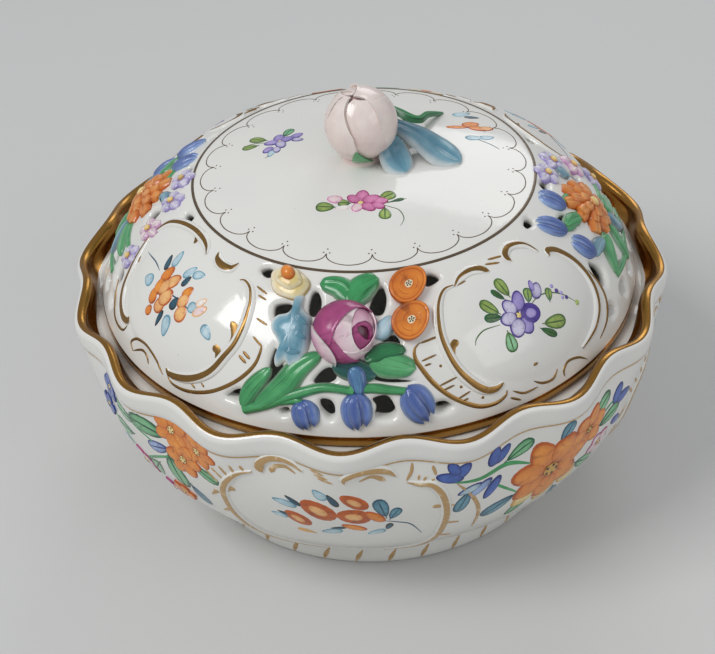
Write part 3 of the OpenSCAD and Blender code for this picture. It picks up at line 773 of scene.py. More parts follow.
def makeBowl():
    sizes = {"wallRows": 44, "innerRows": 22, "lipRows": 17, "steps": 320, "giltFrom": 58, "pole": 0.5,
             "baseFlat": 0.6, "seatOut": 80.0, "seatIn": 75.3, "soft": 0.4, "ledge": 2.7,
             "innerTop": 0.76, "innerBase": 0.05, "innerFlat": 50.0}
    pole = sizes["pole"]
    lip = (vase["rimWall"] + vase["bandRelief"]) / 2
    bandShare = 1 - (vase["bandHeight"] + lip) / (bowlHeight - footHeight)
    lipShare = 1 - lip / (bowlHeight - footHeight)
    seat = bowlHeight - vase["seatDepth"]
    rows = [(pole, footHeight, 0, 0), (footRadius * sizes["baseFlat"], footHeight, 0, 0)]
    for s in np.linspace(0, bandShare, sizes["wallRows"]):
        rows.append((*bowlWall(s), lobeShare(s), 0))
    for k in (0.12, 0.3, 0.55, 0.8):
        s = bandShare + (lipShare - bandShare) * k
        r, z = bowlWall(s)
        rows.append((r + vase["bandRelief"] * min(1, 3.2 * k) ** 0.5, z, lobeShare(s), 0))
    for a in np.linspace(0, 180, sizes["lipRows"]):
        c, s = heading(a)
        gilt = 1.0 if a >= sizes["giltFrom"] else 0.0
        r = rimRadius + vase["bandRelief"] - lip + lip * c
        rows.append((r, bowlHeight - lip + lip * s, 1, gilt))
    inside = rimRadius + vase["bandRelief"] - 2 * lip
    for k, gilt in ((0.12, 1), (0.3, 1), (0.5, 1), (0.75, 0.7), (0.92, 0)):
        r = inside + (sizes["seatOut"] - inside) * k
        rows.append((r, bowlHeight - lip + (seat - bowlHeight + lip) * k, 1 - k * k, gilt))
    soft = sizes["soft"]
    rows += [(sizes["seatOut"] - soft, seat, 0, 0), (sizes["seatIn"] + soft, seat, 0, 0),
             (sizes["seatIn"], seat - soft, 0, 0), (sizes["seatIn"], seat - sizes["ledge"], 0, 0)]
    for s in np.linspace(sizes["innerTop"], sizes["innerBase"], sizes["innerRows"]):
        out, up = wallNormal(s)
        r, z = bowlWall(s)
        rows.append((r - vase["bowlWall"] * out, z - vase["bowlWall"] * up, 0, 0))
    floor = footHeight + vase["bowlWall"]
    rows += [(sizes["innerFlat"], floor, 0, 0), (pole, floor, 0, 0)]
    lobedPiece("bowl", rows, sizes["steps"], "giltEdged", ["bowl_shell"], 50)
    r, z = bowlWall(bandShare)
    line = [(r - 0.4, z - 0.5), (r + 0.1, z - 0.34), (r + 0.14, z), (r + 0.1, z + 0.3),
            (r - 0.4, z + 0.5)]
    rows = [(*p, lobeShare(bandShare), 0) for p in line + line[:1]]
    lobedPiece("bandLine", rows, sizes["steps"], "ochreGold")


def makeFoot():
    foot = {"steps": 256, "dashes": 38, "dashLong": 5.6, "dashWide": 1.5, "dashLean": -2.2}
    inner = footRadius - vase["footWidth"]
    side = [(footRadius - 1.5, 0.4), (footRadius - 0.9, 1.4), (footRadius - 0.5, 3.0),
            (footRadius - 0.15, 5.0), (footRadius, footHeight)]
    top = footHeight + 0.4        # bedded in the bowl
    rows = [(inner, footHeight), (inner + 0.9, 0.5), (inner + 1.5, 0.0), (footRadius - 2.4, 0.0), *side,
            (footRadius - 2, top), (inner + 1, top), (inner, footHeight)]
    turnedPiece("footRing", rows, foot["steps"], "porcelain", "bowl", ["foot_ring"], 40)
    radii, heights = zip(*side)

    def footCanvas(x, y, lift):
        return turned(np.interp(y, heights, radii) + lift, y, np.degrees(x / footRadius))
    heap = newHeap()
    lean = foot["dashLean"] / 2
    spine = [(lean, 1.0), (0.2 * lean, 1.0 + foot["dashLong"] / 2), (-lean, 1.0 + foot["dashLong"])]
    addRelief(heap, footCanvas, spine, [0.5, foot["dashWide"], 0.4], [0.08, 0.12, 0.08],
              (enamel["ochre"],) * 2, rows=9, sides=5, sink=0.2)
    ringPiece("footDashes", heap, foot["dashes"], materials["ochreGold"], "bowl")


makeBowl()
makeFoot()
print("bowl ready")


# Lid, pierced between the flowers of its four panels

roseHoles = [
    [(-27, 0.93), (-24.8, 0.96), (-22.2, 0.94), (-23.3, 0.9), (-25.4, 0.9)],
    [(-18.6, 0.74), (-15, 0.77), (-13.1, 0.74), (-13.8, 0.7), (-15.5, 0.66), (-17.5, 0.66)],
    [(-9.6, 0.85), (-8.1, 0.87), (-6.6, 0.82), (-6.4, 0.76), (-7.8, 0.71), (-9.5, 0.74)],
    [(-15.8, 0.49), (-14.6, 0.45), (-13, 0.38), (-13.2, 0.31), (-15.4, 0.27), (-16.2, 0.38)],
    [(-4.5, 0.4), (-2.7, 0.42), (-1.4, 0.39), (-1.6, 0.35), (-4, 0.32), (-6.2, 0.33)],
    [(-12.9, 0.14), (-11.2, 0.16), (-10.5, 0.13), (-12.1, 0.11)],
    [(-4.5, 0.23), (-2.5, 0.23), (-1.5, 0.19), (-1.6, 0.13), (-2.8, 0.11), (-4.4, 0.17)],
    [(6.2, 0.24), (9.2, 0.25), (10.7, 0.16), (9.5, 0.11), (6.4, 0.13), (6.8, 0.19)],
    [(18.7, 0.17), (20.7, 0.17), (22, 0.13), (20.1, 0.11), (18.3, 0.13)],
    [(8.7, 0.89), (10.6, 0.9), (11.1, 0.82), (9.6, 0.73), (6.5, 0.74), (6.6, 0.8)],
    [(10, 0.59), (12, 0.6), (13.1, 0.55), (10.9, 0.53), (9.1, 0.56)],
    [(21.3, 0.93), (25.1, 0.94), (27.2, 0.89), (23.2, 0.86), (21.9, 0.9)],
    [(-24.5, 0.14), (-22.5, 0.2), (-20.4, 0.2), (-21.2, 0.14)],
    [(6.2, 0.41), (9, 0.36), (14.5, 0.32), (9, 0.33), (6.4, 0.36)],
]
ruffleHoles = [(-24.5, 0.92, 4.2, 2.6), (24.5, 0.92, 4.2, 2.6), (-13.8, 0.73, 5.4, 5),
               (11.4, 0.68, 4.4, 5), (-18.5, 0.37, 4.6, 8), (18.6, 0.29, 4.4, 4.4), (-8.5, 0.28, 5, 5),
               (9.8, 0.29, 5.6, 5), (0.5, 0.26, 4.4, 5.4), (-12.5, 0.13, 5.4, 4), (-4.2, 0.11, 5, 3.4),
               (5, 0.11, 5, 3.4), (13.5, 0.13, 5.4, 4), (-3, 0.93, 4.6, 2.4), (21.5, 0.14, 4.4, 3.6),
               (-21.5, 0.14, 4.4, 3.6)]
piercing = {"roll": 1.4, "rollDepth": 0.9, "rollUnder": 0.6, "rings": (0.3, 0.7, 1.2),
            "ringSlack": 0.08, "ringEdge": 0.2, "gridStep": 1.0, "gridEdge": 0.1, "stripStart": 45.0,
            "pole": 0.4}
lidAngles = np.linspace(piercing["stripStart"], piercing["stripStart"] + 360, 361)


def stripPoint(angle, v):
    return np.stack([np.radians(angle) * fieldRadius, np.asarray(v) * arcLength], axis=-1)


def holeLoops():
    loops = []
    shares = np.linspace(0, 1, 26, endpoint=False)
    for panel in (180, 360):
        for hole in roseHoles:
            line = spline(hole, shares, loop=True)
            loops.append(stripPoint(panel + line[:, 0], line[:, 1]))
    for panel in (90, 270):
        for angle, v, wide, tall in ruffleHoles:
            loop = roundOutline(0, 0, 0.5, lobes=3, depth=0.1, turn=7 * angle, steps=24)
            scale = float(shoulder(v)[0]) / fieldRadius
            loops.append(stripPoint(panel + angle, v) + loop * (wide / scale, tall))
    return loops


def loopDistance(points, loop):
    ahead = np.roll(loop, -1, axis=0) - loop
    gap = points[:, None, :] - loop[None]
    t = np.clip((gap * ahead).sum(-1) / (ahead ** 2).sum(-1), 0, 1)
    return np.linalg.norm(gap - t[..., None] * ahead, axis=-1).min(axis=1)


def insideLoop(points, loop):
    ahead = np.roll(loop, -1, axis=0)
    x, y = points[:, :1], points[:, 1:]
    crosses = (loop[:, 1] > y) != (ahead[:, 1] > y)
    slope = (ahead[:, 0] - loop[:, 0]) / (ahead[:, 1] - loop[:, 1] + 1e-12)
    return ((crosses & (x < slope * (y - loop[:, 1]) + loop[:, 0])).sum(axis=1) % 2) == 1


def nearLoop(points, loop, margin):
    low, high = loop.min(axis=0) - margin, loop.max(axis=0) + margin
    return np.where(((points > low) & (points < high)).all(axis=1))[0]


def stripGrid(loops):
    # a grid over the shoulder laid flat, without the points in or close to a hole
    shares = np.linspace(0, 1, int(arcLength / piercing["gridStep"]) + 1)
    grid = stripPoint(*np.meshgrid(lidAngles, shares)).reshape(-1, 2)
    edge = piercing["gridEdge"]
    inner = (grid[:, 1] > edge) & (grid[:, 1] < arcLength - edge)
    keep = np.ones(len(grid), bool)
    for loop in loops:
        near = nearLoop(grid, loop, piercing["roll"])
        clash = (loopDistance(grid[near], loop) < piercing["roll"]) | insideLoop(grid[near], loop)
        keep[near[clash]] = False
    return grid[keep | ~inner]


def holeRing(loop, gap, loops):
    # points at one distance round a hole, clear of all the others
    ahead = np.roll(loop, -1, axis=0) - np.roll(loop, 1, axis=0)
    out = np.stack([ahead[:, 1], -ahead[:, 0]], axis=1) / np.linalg.norm(ahead, axis=1)[:, None]
    if insideLoop((loop + 0.05 * out)[:1], loop)[0]:
        out = -out
    ring = loop + gap * out
    clear = np.ones(len(ring), bool)
    for other in loops:
        if len(nearLoop(ring, other, piercing["roll"])):
            clear &= loopDistance(ring, other) > gap - piercing["ringSlack"]
            clear &= ~insideLoop(ring, other)
    edge = piercing["ringEdge"]
    return ring[clear & (ring[:, 1] > edge) & (ring[:, 1] < arcLength - edge)]


def piercedStrip(loops):
    # the shoulder laid flat: its points, its triangles and each point's distance to a hole
    points = [stripGrid(loops)]
    count = len(points[0])
    edges = []
    for loop in loops:
        edges += [(count + i, count + (i + 1) % len(loop)) for i in range(len(loop))]
        rings = [holeRing(loop, gap, loops) for gap in piercing["rings"]]
        points += [loop, *rings]
        count += len(loop) + sum(len(ring) for ring in rings)
    places = [Vector(p) for p in np.concatenate(points)]
    flat, _, faces, *_ = delaunay_2d_cdt(places, edges, [], 0, 1e-5)
    flat = np.array([tuple(p) for p in flat])
    faces = np.array([f for f in faces if len(f) == 3])
    middles = flat[faces].mean(axis=1)
    solid = np.ones(len(faces), bool)
    gap = np.full(len(flat), 99.0)
    for loop in loops:
        near = nearLoop(middles, loop, 0.0)
        solid[near[insideLoop(middles[near], loop)]] = False
        near = nearLoop(flat, loop, 2.0)
        gap[near] = np.minimum(gap[near], loopDistance(flat[near], loop))
    return flat, faces[solid], gap


def lidRows():
    # the edge, the underside and the crown as rows of (radius, height, gilt share)
    wall, collar, pole = vase["lidWall"], vase["collarInside"], piercing["pole"]
    edge = [(lidRadius, edgeTop, 1), (lidRadius, edgeTop - 0.8, 1),
            (lidRadius - 0.1, lidBottom + 0.7, 1), (lidRadius - 0.75, lidBottom, 0.6),
            (collar, lidBottom, 0), (collar, float(shoulder(0.0, -wall)[1]), 0)]
    top = [float(c) for c in shoulder(1.0, -wall)]
    under = [(r, crownHeight(r) - wall, 0) for r in np.linspace(top[0], pole, 20)]
    under[0] = (*top, 0)
    crown = [(r, crownHeight(r), 0) for r in np.linspace(crownRadius, pole, 30)]
    return edge, under, crown


def makeLid():
    flat, faces, gap = piercedStrip(holeLoops())
    count = len(flat)
    roll = np.clip(1 - gap / piercing["roll"], 0, 1) ** 2
    angle = np.degrees(flat[:, 0] / fieldRadius)
    v = flat[:, 1] / arcLength
    outside = lidPoint(angle, v, -piercing["rollDepth"] * roll)
    radius, height = shoulder(v, -vase["lidWall"] + piercing["rollUnder"] * roll)
    inside = turned(np.minimum(radius, vase["collarInside"]), height, angle)
    heap = newHeap()
    for sheet in (outside, inside):
        heap["points"].append(sheet)
        heap["tints"].append(np.tile(enamel["white"], (count, 1)))
        heap["marks"].append(np.zeros((count, 2)))
    heap["count"] = 2 * count
    heap["faces"] = faces.tolist() + (faces[:, ::-1] + count).tolist()
    borders = np.concatenate([faces[:, [0, 1]], faces[:, [1, 2]], faces[:, [2, 0]]]).tolist()
    seen = {tuple(border) for border in borders}
    for a, b in borders:        # walls of the holes
        if (b, a) not in seen and gap[a] < 1e-3 and gap[b] < 1e-3:
            heap["faces"].append([b, a, a + count, b + count])
    gilt = [np.where(v < 0.005, 1.0, 0.0), np.zeros(count)]
    for rows in lidRows():
        rows = np.array(rows)
        rings = turned(rows[:, :1], rows[:, 1:2], lidAngles[None, :-1])
        index = addRings(heap, rings, enamel["white"], np.zeros(2))
        gilt.append(np.repeat(rows[:, 2], rings.shape[1]))
        if rows[-1, 0] < 1:
            heap["faces"].append(index[-1].tolist())
    mesh = newMesh("lid", heap)
    addShare(mesh, "gilt", np.concatenate(gilt))
    finishMesh(mesh, 55, weld=0.01)
    newPiece("lid", mesh, materials["giltEdged"], "lid", ["lid_shell"])
    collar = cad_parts["lid_collar"]
    collar.data.materials.clear()
    collar.data.materials.append(materials["porcelain"])


makeLid()
print("lid ready")


# Applied flowers, one piece for each node

def newBud(canvas, middle, lift, axis, tall=1.0):
    axis = np.array(axis) / np.linalg.norm(axis)
    side = np.cross((0, 1, 0), axis)
    side /= np.linalg.norm(side)
    turn = np.stack([side, np.cross(axis, side), axis])

    def place(local):
        p = local @ turn
        return canvas(middle[0] + p[..., 0], middle[1] + p[..., 1], lift + p[..., 2])
    return {"place": place, "tall": tall}


def addBall(heap, bud, radius, tints):
    polar = np.radians(np.linspace(4, 176, 15))[:, None]
    turn = np.radians(np.arange(0, 360, 15))[None, :]
    side = radius * np.sin(polar)
    up = bud["tall"] * radius * np.cos(polar)
    local = np.stack(np.broadcast_arrays(side * np.cos(turn), side * np.sin(turn), up), axis=-1)
    share = np.clip(1.3 - polar / 1.2, 0, 1)[:, :, None]
    shade = np.broadcast_to(mix(tints[1], tints[0], share), (*local.shape[:2], 3))
    addTube(heap, bud["place"](local), shade, np.zeros(2))


def nodeOf(name):
    # tulipLeftFront is the node tulip_left_front, posy1Right is posy_1_right
    return "".join("_" + c.lower() if c.isupper() or c.isdigit() else c for c in name)


def flowerPiece(name, heap, material="relief", node=""):
    heapPiece(name, heap, materials[material], "lid", [node or nodeOf(name)], sharp=70)


def makeRose(canvas, side):
    white, pink, magenta, wine = enamel["white"], enamel["pink"], enamel["magenta"], enamel["wine"]
    deep = mix(magenta, wine, 0.55)
    rose = {"radius": 7.9, "heart": 0.92, "lift": 1.5, "flat": 0.7, "sunk": -0.9,
            "axis": (0.72, -0.06, 0.69), "middle": spot(0.3, 0.625), "thick": 0.7, "lip": 0.3,
            "lean": 0.12, "bow": 2.2}
    # petals are (around, span, low, high, size, drop, base tint, edge tint) about the rose's axis
    petals = (
        (88, 240, 43, 130, 1.04, 0.3, deep, mix(magenta, pink, 0.3)),
        (240, 150, 54, 130, 1.03, 0.45, deep, mix(magenta, pink, 0.4)),
        (224, 96, 70, 130, 1.105, 0.8, mix(magenta, pink, 0.6), white),
        (205, 250, 30, 110, 1.0, 0.3, mix(magenta, pink, 0.6), white),
        (330, 200, 24, 110, 1.02, 0.35, pink, mix(white, pink, 0.25)),
        (80, 240, 17, 90, 0.975, 0.3, magenta, mix(white, pink, 0.5)),
        (240, 220, 14, 70, 0.955, 0.3, deep, mix(magenta, pink, 0.3)),
        (60, 220, 7, 50, 0.945, 0.3, pink, mix(magenta, wine, 0.2)),
    )

    def flattened(x, y, lift):
        return canvas(x, y, np.maximum(rose["flat"] * lift, rose["sunk"]))
    bud = newBud(flattened, rose["middle"], rose["lift"], rose["axis"])
    heap = newHeap()
    addBall(heap, bud, rose["heart"] * rose["radius"], (mix(wine, enamel["soot"], 0.25), deep))
    for around, span, low, high, size, drop, base, edge in petals:
        addShell(heap, bud, around, span, low, high, size * rose["radius"], (base, edge), rose["thick"],
                 drop, rose["bow"], rows=24, cols=41, lip=rose["lip"], lean=rose["lean"])
    flowerPiece("rose" + side, heap)


def makeCup(name, canvas, middle):
    cup = {"radius": 5.0, "tall": 2.4, "eye": (0.2, 0.1), "eyeWide": 1.05, "dots": 5, "dot": 0.24}
    x, y = middle
    h = cup["tall"]
    rust, cream = enamel["rust"], mix(enamel["yellow"], enamel["white"], 0.45)
    orange = mix(enamel["orange"], rust, 0.5)
    light = mix(orange, enamel["orange"], 0.7)
    heap = newHeap()
    profile = [(0.05, 0.8 * h), (0.19, 0.8 * h), (0.22, 0.81 * h), (0.5, 0.84 * h), (0.74, 0.9 * h),
               (0.8, 0.88 * h), (0.88, 0.97 * h), (0.93, h), (0.97, 0.9 * h), (1.0, 0.55 * h),
               (0.97, 0.2 * h), (0.9, -0.8)]
    tints = [cream, cream, orange, light, mix(orange, light, 0.5), mix(orange, rust, 0.8), light,
             orange, mix(orange, rust, 0.7), rust, orange, orange]
    outline = roundOutline(x, y, cup["radius"], 3, 0.03, 35, 48)
    ex, ey = x + cup["eye"][0], y + cup["eye"][1]
    # rust on the cup's upper-left side is painted shade inside its hollow
    addDome(heap, canvas, outline, (ex, ey), profile, tints, side=(rust, 150, 0.45))
    for k in range(cup["dots"] + 1):        # the last one is the middle
        c, s = heading(360 / cup["dots"] * k + 20)
        reach = 0.55 * cup["eyeWide"] if k < cup["dots"] else 0.0
        addDot(heap, canvas, ex + reach * c, ey + reach * s, cup["dot"], enamel["soot"], 0.1, 0.8 * h)
    for start, reach in ((100, 0.42), (200, 0.56), (310, 0.48)):
        turns = np.radians(start + np.linspace(0, 80, 6))
        r = reach * cup["radius"]
        arc = [(ex + r * math.cos(a), ey + r * math.sin(a)) for a in turns]
        addStroke(heap, canvas, arc, 0.3, mix(rust, orange, 0.3), lift=0.83 * h, height=0.08)
    flowerPiece(name, heap)


def makeSmallBud(canvas, side):
    # tiers are (size, turn, shift, lifts from the middle out)
    bud = {"middle": spot(-16.3, 0.885), "radius": 5.2, "squash": (1.08, 0.86), "ball": 2.0,
           "tiers": ((1.0, 10, 0.0, (1.7, 1.7, 1.5, 1.1, 0.4, -0.8)),
                     (0.7, 60, 0.8, (2.9, 2.8, 2.5, 2.0, 1.4, 0.9)))}
    middle = bud["middle"]
    yellow, ochre, white = enamel["yellow"], enamel["ochre"], enamel["white"]
    # each tier is painted ochre in its middle and at its edge, painted shade under the tier above and
    # in the folds; shadow is painted shade on the bud's right side
    shadow = mix(ochre, enamel["olive"], 0.5)
    tints = [ochre, mix(yellow, ochre, 0.3), mix(yellow, white, 0.4), mix(yellow, white, 0.65), ochre,
             yellow]
    heap = newHeap()
    for share, turn, shift, lifts in bud["tiers"]:
        outline = roundOutline(0, 0, share * bud["radius"], 5, 0.04, turn, 40) * bud["squash"]
        place = middle + (0, shift)
        profile = list(zip((0.1, 0.5, 0.78, 0.92, 1.0, 0.96), lifts))
        addDome(heap, canvas, outline + place, place, profile, tints, side=(shadow, -20, 0.5))
    ball = newBud(canvas, middle + (0.0, 1.8), 2.5, (0, 0.1, 1))
    addBall(heap, ball, bud["ball"], (enamel["orange"], enamel["rust"]))
    flowerPiece("smallBud" + side, heap)


def makeBell(canvas, side):
    bell = {"tall": 2.7, "middle": (-12.2, 0.6), "outline": [
        (-13.4, 0.83), (-11.2, 0.83), (-10.6, 0.75), (-8.2, 0.7), (-7.6, 0.64), (-7.5, 0.57),
        (-7.9, 0.5), (-8.8, 0.43), (-10.4, 0.4), (-11.4, 0.385), (-12.6, 0.425), (-14.4, 0.385),
        (-15.2, 0.43), (-14.7, 0.5), (-15.8, 0.55), (-17.4, 0.59), (-17.9, 0.64), (-16.8, 0.685),
        (-14.4, 0.71), (-13.4, 0.76)]}
    teal, deep, mist, white = enamel["teal"], enamel["deepTeal"], enamel["mist"], enamel["white"]
    h = bell["tall"]
    heap = newHeap()
    line = spline(spots(bell["outline"]), np.linspace(0, 1, 72, endpoint=False), loop=True)
    profile = [(0.04, h), (0.3, 0.98 * h), (0.55, 0.88 * h), (0.75, 0.7 * h), (0.88, 0.48 * h),
               (0.97, 0.2 * h), (1.0, 0.0), (1.0, -0.8)]
    tints = [mix(teal, mist, 0.3), mix(teal, mist, 0.2), teal, mix(teal, mist, 0.4),
             mix(mist, white, 0.3), white, white, white]
    # deep teal on the bell's right side is painted shade
    addDome(heap, canvas, line, spot(*bell["middle"]), profile, tints, side=(deep, 20, 0.5))
    strokes = (((-13.4, 0.685), (-11, 0.675), (-8.8, 0.65)),
               ((-12.4, 0.6), (-10.6, 0.59), (-8.6, 0.57)),
               ((-13, 0.5), (-11.6, 0.49), (-9.4, 0.49)))
    for stroke in strokes:
        addStroke(heap, canvas, spots(stroke), 1.5, mix(deep, teal, 0.7),
                  lift=[0.74 * h, 0.95 * h, 0.8 * h], height=0.1)
    flowerPiece("bellflower" + side, heap)


def addTulip(heap, canvas, top, bottom, wide, tints):
    top, bottom = np.array(top), np.array(bottom)
    along = bottom - top
    across = np.array([-along[1], along[0]]) / np.linalg.norm(along) * wide
    deep, middle, light = tints
    petals = ((0.3, 0.94, 0.5, 1.8, middle), (-0.3, 0.97, 0.5, 1.8, middle), (0.1, 0.9, 0.5, 2.3, deep),
              (-0.06, 1.0, 0.58, 2.7, mix(middle, deep, 0.4)))
    for shift, reach, width, tall, tint in petals:
        spine = [top, top + 0.3 * reach * along + 0.85 * shift * across,
                 top + 0.7 * reach * along + shift * across, top + reach * along + 0.8 * shift * across]
        addRelief(heap, canvas, spine, wide * width * np.array([0.45, 1, 1.1, 0.8, 0.06]),
                  tall * np.array([0.55, 0.95, 1, 0.8, 0.3]), (light, tint), rows=18, sides=9, sink=0.8,
                  groove=0.1, root=mix(deep, middle, 0.5))


def tulipPiece(name, canvas, top, bottom, wide):
    blue, sky = enamel["blue"], enamel["sky"]
    tints = (enamel["navy"], mix(blue, sky, 0.2), mix(sky, enamel["mist"], 0.3))
    heap = newHeap()
    addTulip(heap, canvas, top, bottom, wide, tints)
    flowerPiece(name, heap)


def addClayLeaf(heap, canvas, spine, wide, tall, tints, tip):
    # tip is 0 for a sharp end, 1 for a blunt one
    sharp = np.array([0.35, 0.65, 0.85, 0.97, 1, 0.95, 0.85, 0.7, 0.5, 0.28, 0.03])
    blunt = np.array([0.35, 0.6, 0.8, 0.93, 1, 1, 0.98, 0.93, 0.83, 0.63, 0.05])
    crest = tall * np.array([0.8, 1, 1, 1, 0.95, 0.8, 0.3])
    addRelief(heap, canvas, spine, wide * mix(sharp, blunt, tip), crest, tints, rows=40, sides=13,
              sink=0.8, groove=0.2, full=0.45, fade=0.3)


def addClayStem(heap, canvas, spine, wide, tints):
    addRelief(heap, canvas, spine, [wide, wide, 0.8 * wide], [0.45 * wide] * 2, tints,
              rows=6 * len(spine), sides=9, sink=0.7, fade=0.3)


def makeRoseFoliage(canvas, side):
    green, bottle, leaf = enamel["green"], enamel["bottle"], enamel["leaf"]
    teal, deep = enamel["teal"], enamel["deepTeal"]
    fresh = (mix(green, bottle, 0.5), mix(green, leaf, 0.15))
    bright = (mix(green, bottle, 0.5), mix(green, bottle, 0.05))
    dark = (bottle, mix(green, bottle, 0.6))
    light = (mix(green, bottle, 0.3), mix(green, leaf, 0.35))
    cool = (enamel["navy"], mix(teal, enamel["blue"], 0.4))
    leaves = (
        ([(2.0, 0.8), (-1.6, 0.895), (-7.6, 0.91)], 6.6, 1.5, bright, 0.7),
        ([(1.0, 0.78), (4.4, 0.89), (9.4, 0.95)], 8.2, 1.6, bright, 0.7),
        ([(5.0, 0.46), (9.4, 0.505), (14, 0.5)], 5.4, 1.5, dark, 0.5),
        ([(6.0, 0.47), (10, 0.43), (15.6, 0.39)], 7.4, 1.3, light, 0.7),
        ([(-17.6, 0.13), (-12.4, 0.28), (-9.4, 0.4), (-4.6, 0.5)], 6.6, 1.7, fresh, 0.6),
        ([(-20.4, 0.12), (-18.8, 0.24), (-15.6, 0.375)], 5.0, 1.4, fresh, 0.5),
        ([(7.2, 0.6), (9.6, 0.64), (12, 0.71)], 5.2, 1.3, (teal, enamel["mist"]), 0.6),
        ([(-2.0, 0.44), (2.4, 0.41), (7.2, 0.37)], 6.6, 1.2, (bottle, mix(deep, bottle, 0.5)), 0.6),
        ([(2.0, 0.42), (3.2, 0.36), (3.6, 0.26)], 5.4, 1.9, cool, 0.6),
    )
    heap = newHeap()
    for spine, wide, tall, tints, tip in leaves:
        addClayLeaf(heap, canvas, spots(spine), wide, tall, tints, tip)
    stems = (
        ([(-20, 0.1), (-15.4, 0.16), (-10.4, 0.235), (-4, 0.3), (2.4, 0.285)], 3.0),
        ([(-14, 0.18), (-9.5, 0.21), (-7.6, 0.195)], 2.2),
        ([(1.5, 0.3), (6.3, 0.3), (9.5, 0.285), (13.4, 0.265)], 2.7),
    )
    for spine, wide in stems:
        addClayStem(heap, canvas, spots(spine), wide, fresh)
    flowerPiece("foliage" + side, heap)


def makeRosePanel(angle, side, fade=0.0):
    canvas = panelCanvas(angle, fade=fade)
    makeRose(canvas, side)
    makeCup("cupUpper" + side, canvas, spot(17.2, 0.875))
    makeCup("cupLower" + side, canvas, spot(16, 0.665))
    makeSmallBud(canvas, side)
    makeBell(canvas, side)
    tulipPiece("tulipLeft" + side, canvas, spot(-8.1, 0.21), spot(-6.4, 0.05), 6.8)
    tulipPiece("tulipMiddle" + side, canvas, spot(2.4, 0.27), spot(3.4, 0.06), 7.4)
    tulipPiece("tulipRight" + side, canvas, spot(13.2, 0.285), spot(17, 0.08), 7.4)
    makeRoseFoliage(canvas, side)


def makeRuffledFlower(canvas, side):
    flower = {"middle": spot(-1, 0.6), "radius": 9.4,
              "tiers": ((1.0, 9, 0.0, 2.4), (0.74, 8, 1.3, 2.2), (0.48, 6, 2.6, 1.8))}
    x, y = flower["middle"]
    r = flower["radius"]
    orange, rust, apricot = enamel["orange"], enamel["rust"], enamel["apricot"]
    heap = newHeap()
    profile = [(0.1, 2.0), (0.7, 1.8), (1.0, 0.8), (1.0, -0.8)]
    addDome(heap, canvas, roundOutline(x, y, 0.7 * r), (x, y), profile, [rust] * 4)
    for tier, (reach, count, lift, tall) in enumerate(flower["tiers"]):
        for k in range(count):
            a = math.radians(360 * k / count + 17 * tier)
            size = reach * r * (1 + 0.06 * math.cos(2.4 * k))
            spine = [(x + d * size * math.cos(a + 0.1 * d), y + d * size * math.sin(a + 0.1 * d))
                     for d in (0.2, 0.6, 1.0)]
            widths = 2.6 * math.pi * size / count / 1.7 * np.array([0.3, 0.8, 1, 0.75])
            tints = (mix(rust, orange, 0.3 * (k % 2)), mix(orange, apricot, 0.3 + 0.15 * tier))
            addRelief(heap, canvas, spine, widths, tall * np.array([0.5, 1, 1, 0.7]), tints, rows=10,
                      sides=9, sink=0.9 if tier == 0 else 0.5, lift=lift, groove=0.3, root=rust)
    ball = newBud(canvas, (x, y), 3.6, (0, 0, 1))
    addBall(heap, ball, 1.7, (enamel["yellow"], rust))
    flowerPiece("ruffledFlower" + side, heap)


def makePosy(name, canvas, middle, tints):
    x, y = middle
    heap = newHeap()
    edge, pale = tints
    profile = [(0.1, 1.6), (0.8, 1.4), (1.0, -0.8)]
    addDome(heap, canvas, roundOutline(x, y, 2.0), (x, y), profile, [edge] * 3)
    for k in range(5):
        c, s = heading(72 * k + 90)
        spine = [(x + d * c, y + d * s) for d in (0.6, 2.3, 4.1)]
        addRelief(heap, canvas, spine, [0.8, 3.4, 3.8, 1.8], [1.0, 1.8, 1.9, 1.0], (edge, pale),
                  rows=10, sides=11, sink=0.8, groove=0.25)
    ball = newBud(canvas, (x, y), 1.7, (0, 0, 1))
    addBall(heap, ball, 1.05, (enamel["yellow"], enamel["ochre"]))
    flowerPiece(name, heap)


def makeRuffleFoliage(canvas, side):
    green, bottle, leaf = enamel["green"], enamel["bottle"], enamel["leaf"]
    fresh = (mix(green, bottle, 0.3), mix(green, leaf, 0.35))
    teal = (enamel["deepTeal"], mix(enamel["teal"], enamel["mist"], 0.3))
    leaves = (
        ([(-9, 0.66), (-12, 0.7), (-16, 0.72)], 5.2, fresh),
        ([(-9, 0.45), (-13, 0.47), (-16, 0.45)], 5.0, teal),
        ([(5, 0.44), (9, 0.38), (14, 0.35)], 6.2, fresh),
        ([(-6, 0.43), (-10, 0.36), (-13, 0.24)], 6.2, fresh),
        ([(-1, 0.4), (-2, 0.28), (-3, 0.15)], 5.6, fresh),
        ([(6, 0.76), (8, 0.8), (10.5, 0.78)], 4.4, teal),
        ([(3, 0.42), (4.4, 0.3), (7, 0.2)], 5.0, teal),
    )
    heap = newHeap()
    for spine, wide, tints in leaves:
        addClayLeaf(heap, canvas, spots(spine), wide, 2.0, tints, 0.3)
    stems = (
        [(-6, 0.44), (-12, 0.45), (-17, 0.5)], [(-7, 0.67), (-14, 0.68), (-19.5, 0.74)],
        [(-3, 0.77), (-6, 0.79), (-9, 0.81)], [(6, 0.46), (10, 0.44), (15.4, 0.44)],
        [(-13, 0.24), (-4, 0.2), (5, 0.2), (14, 0.22)],
    )
    for spine in stems:
        addClayStem(heap, canvas, spots(spine), 2.2, fresh)
    flowerPiece("foliage" + side, heap)


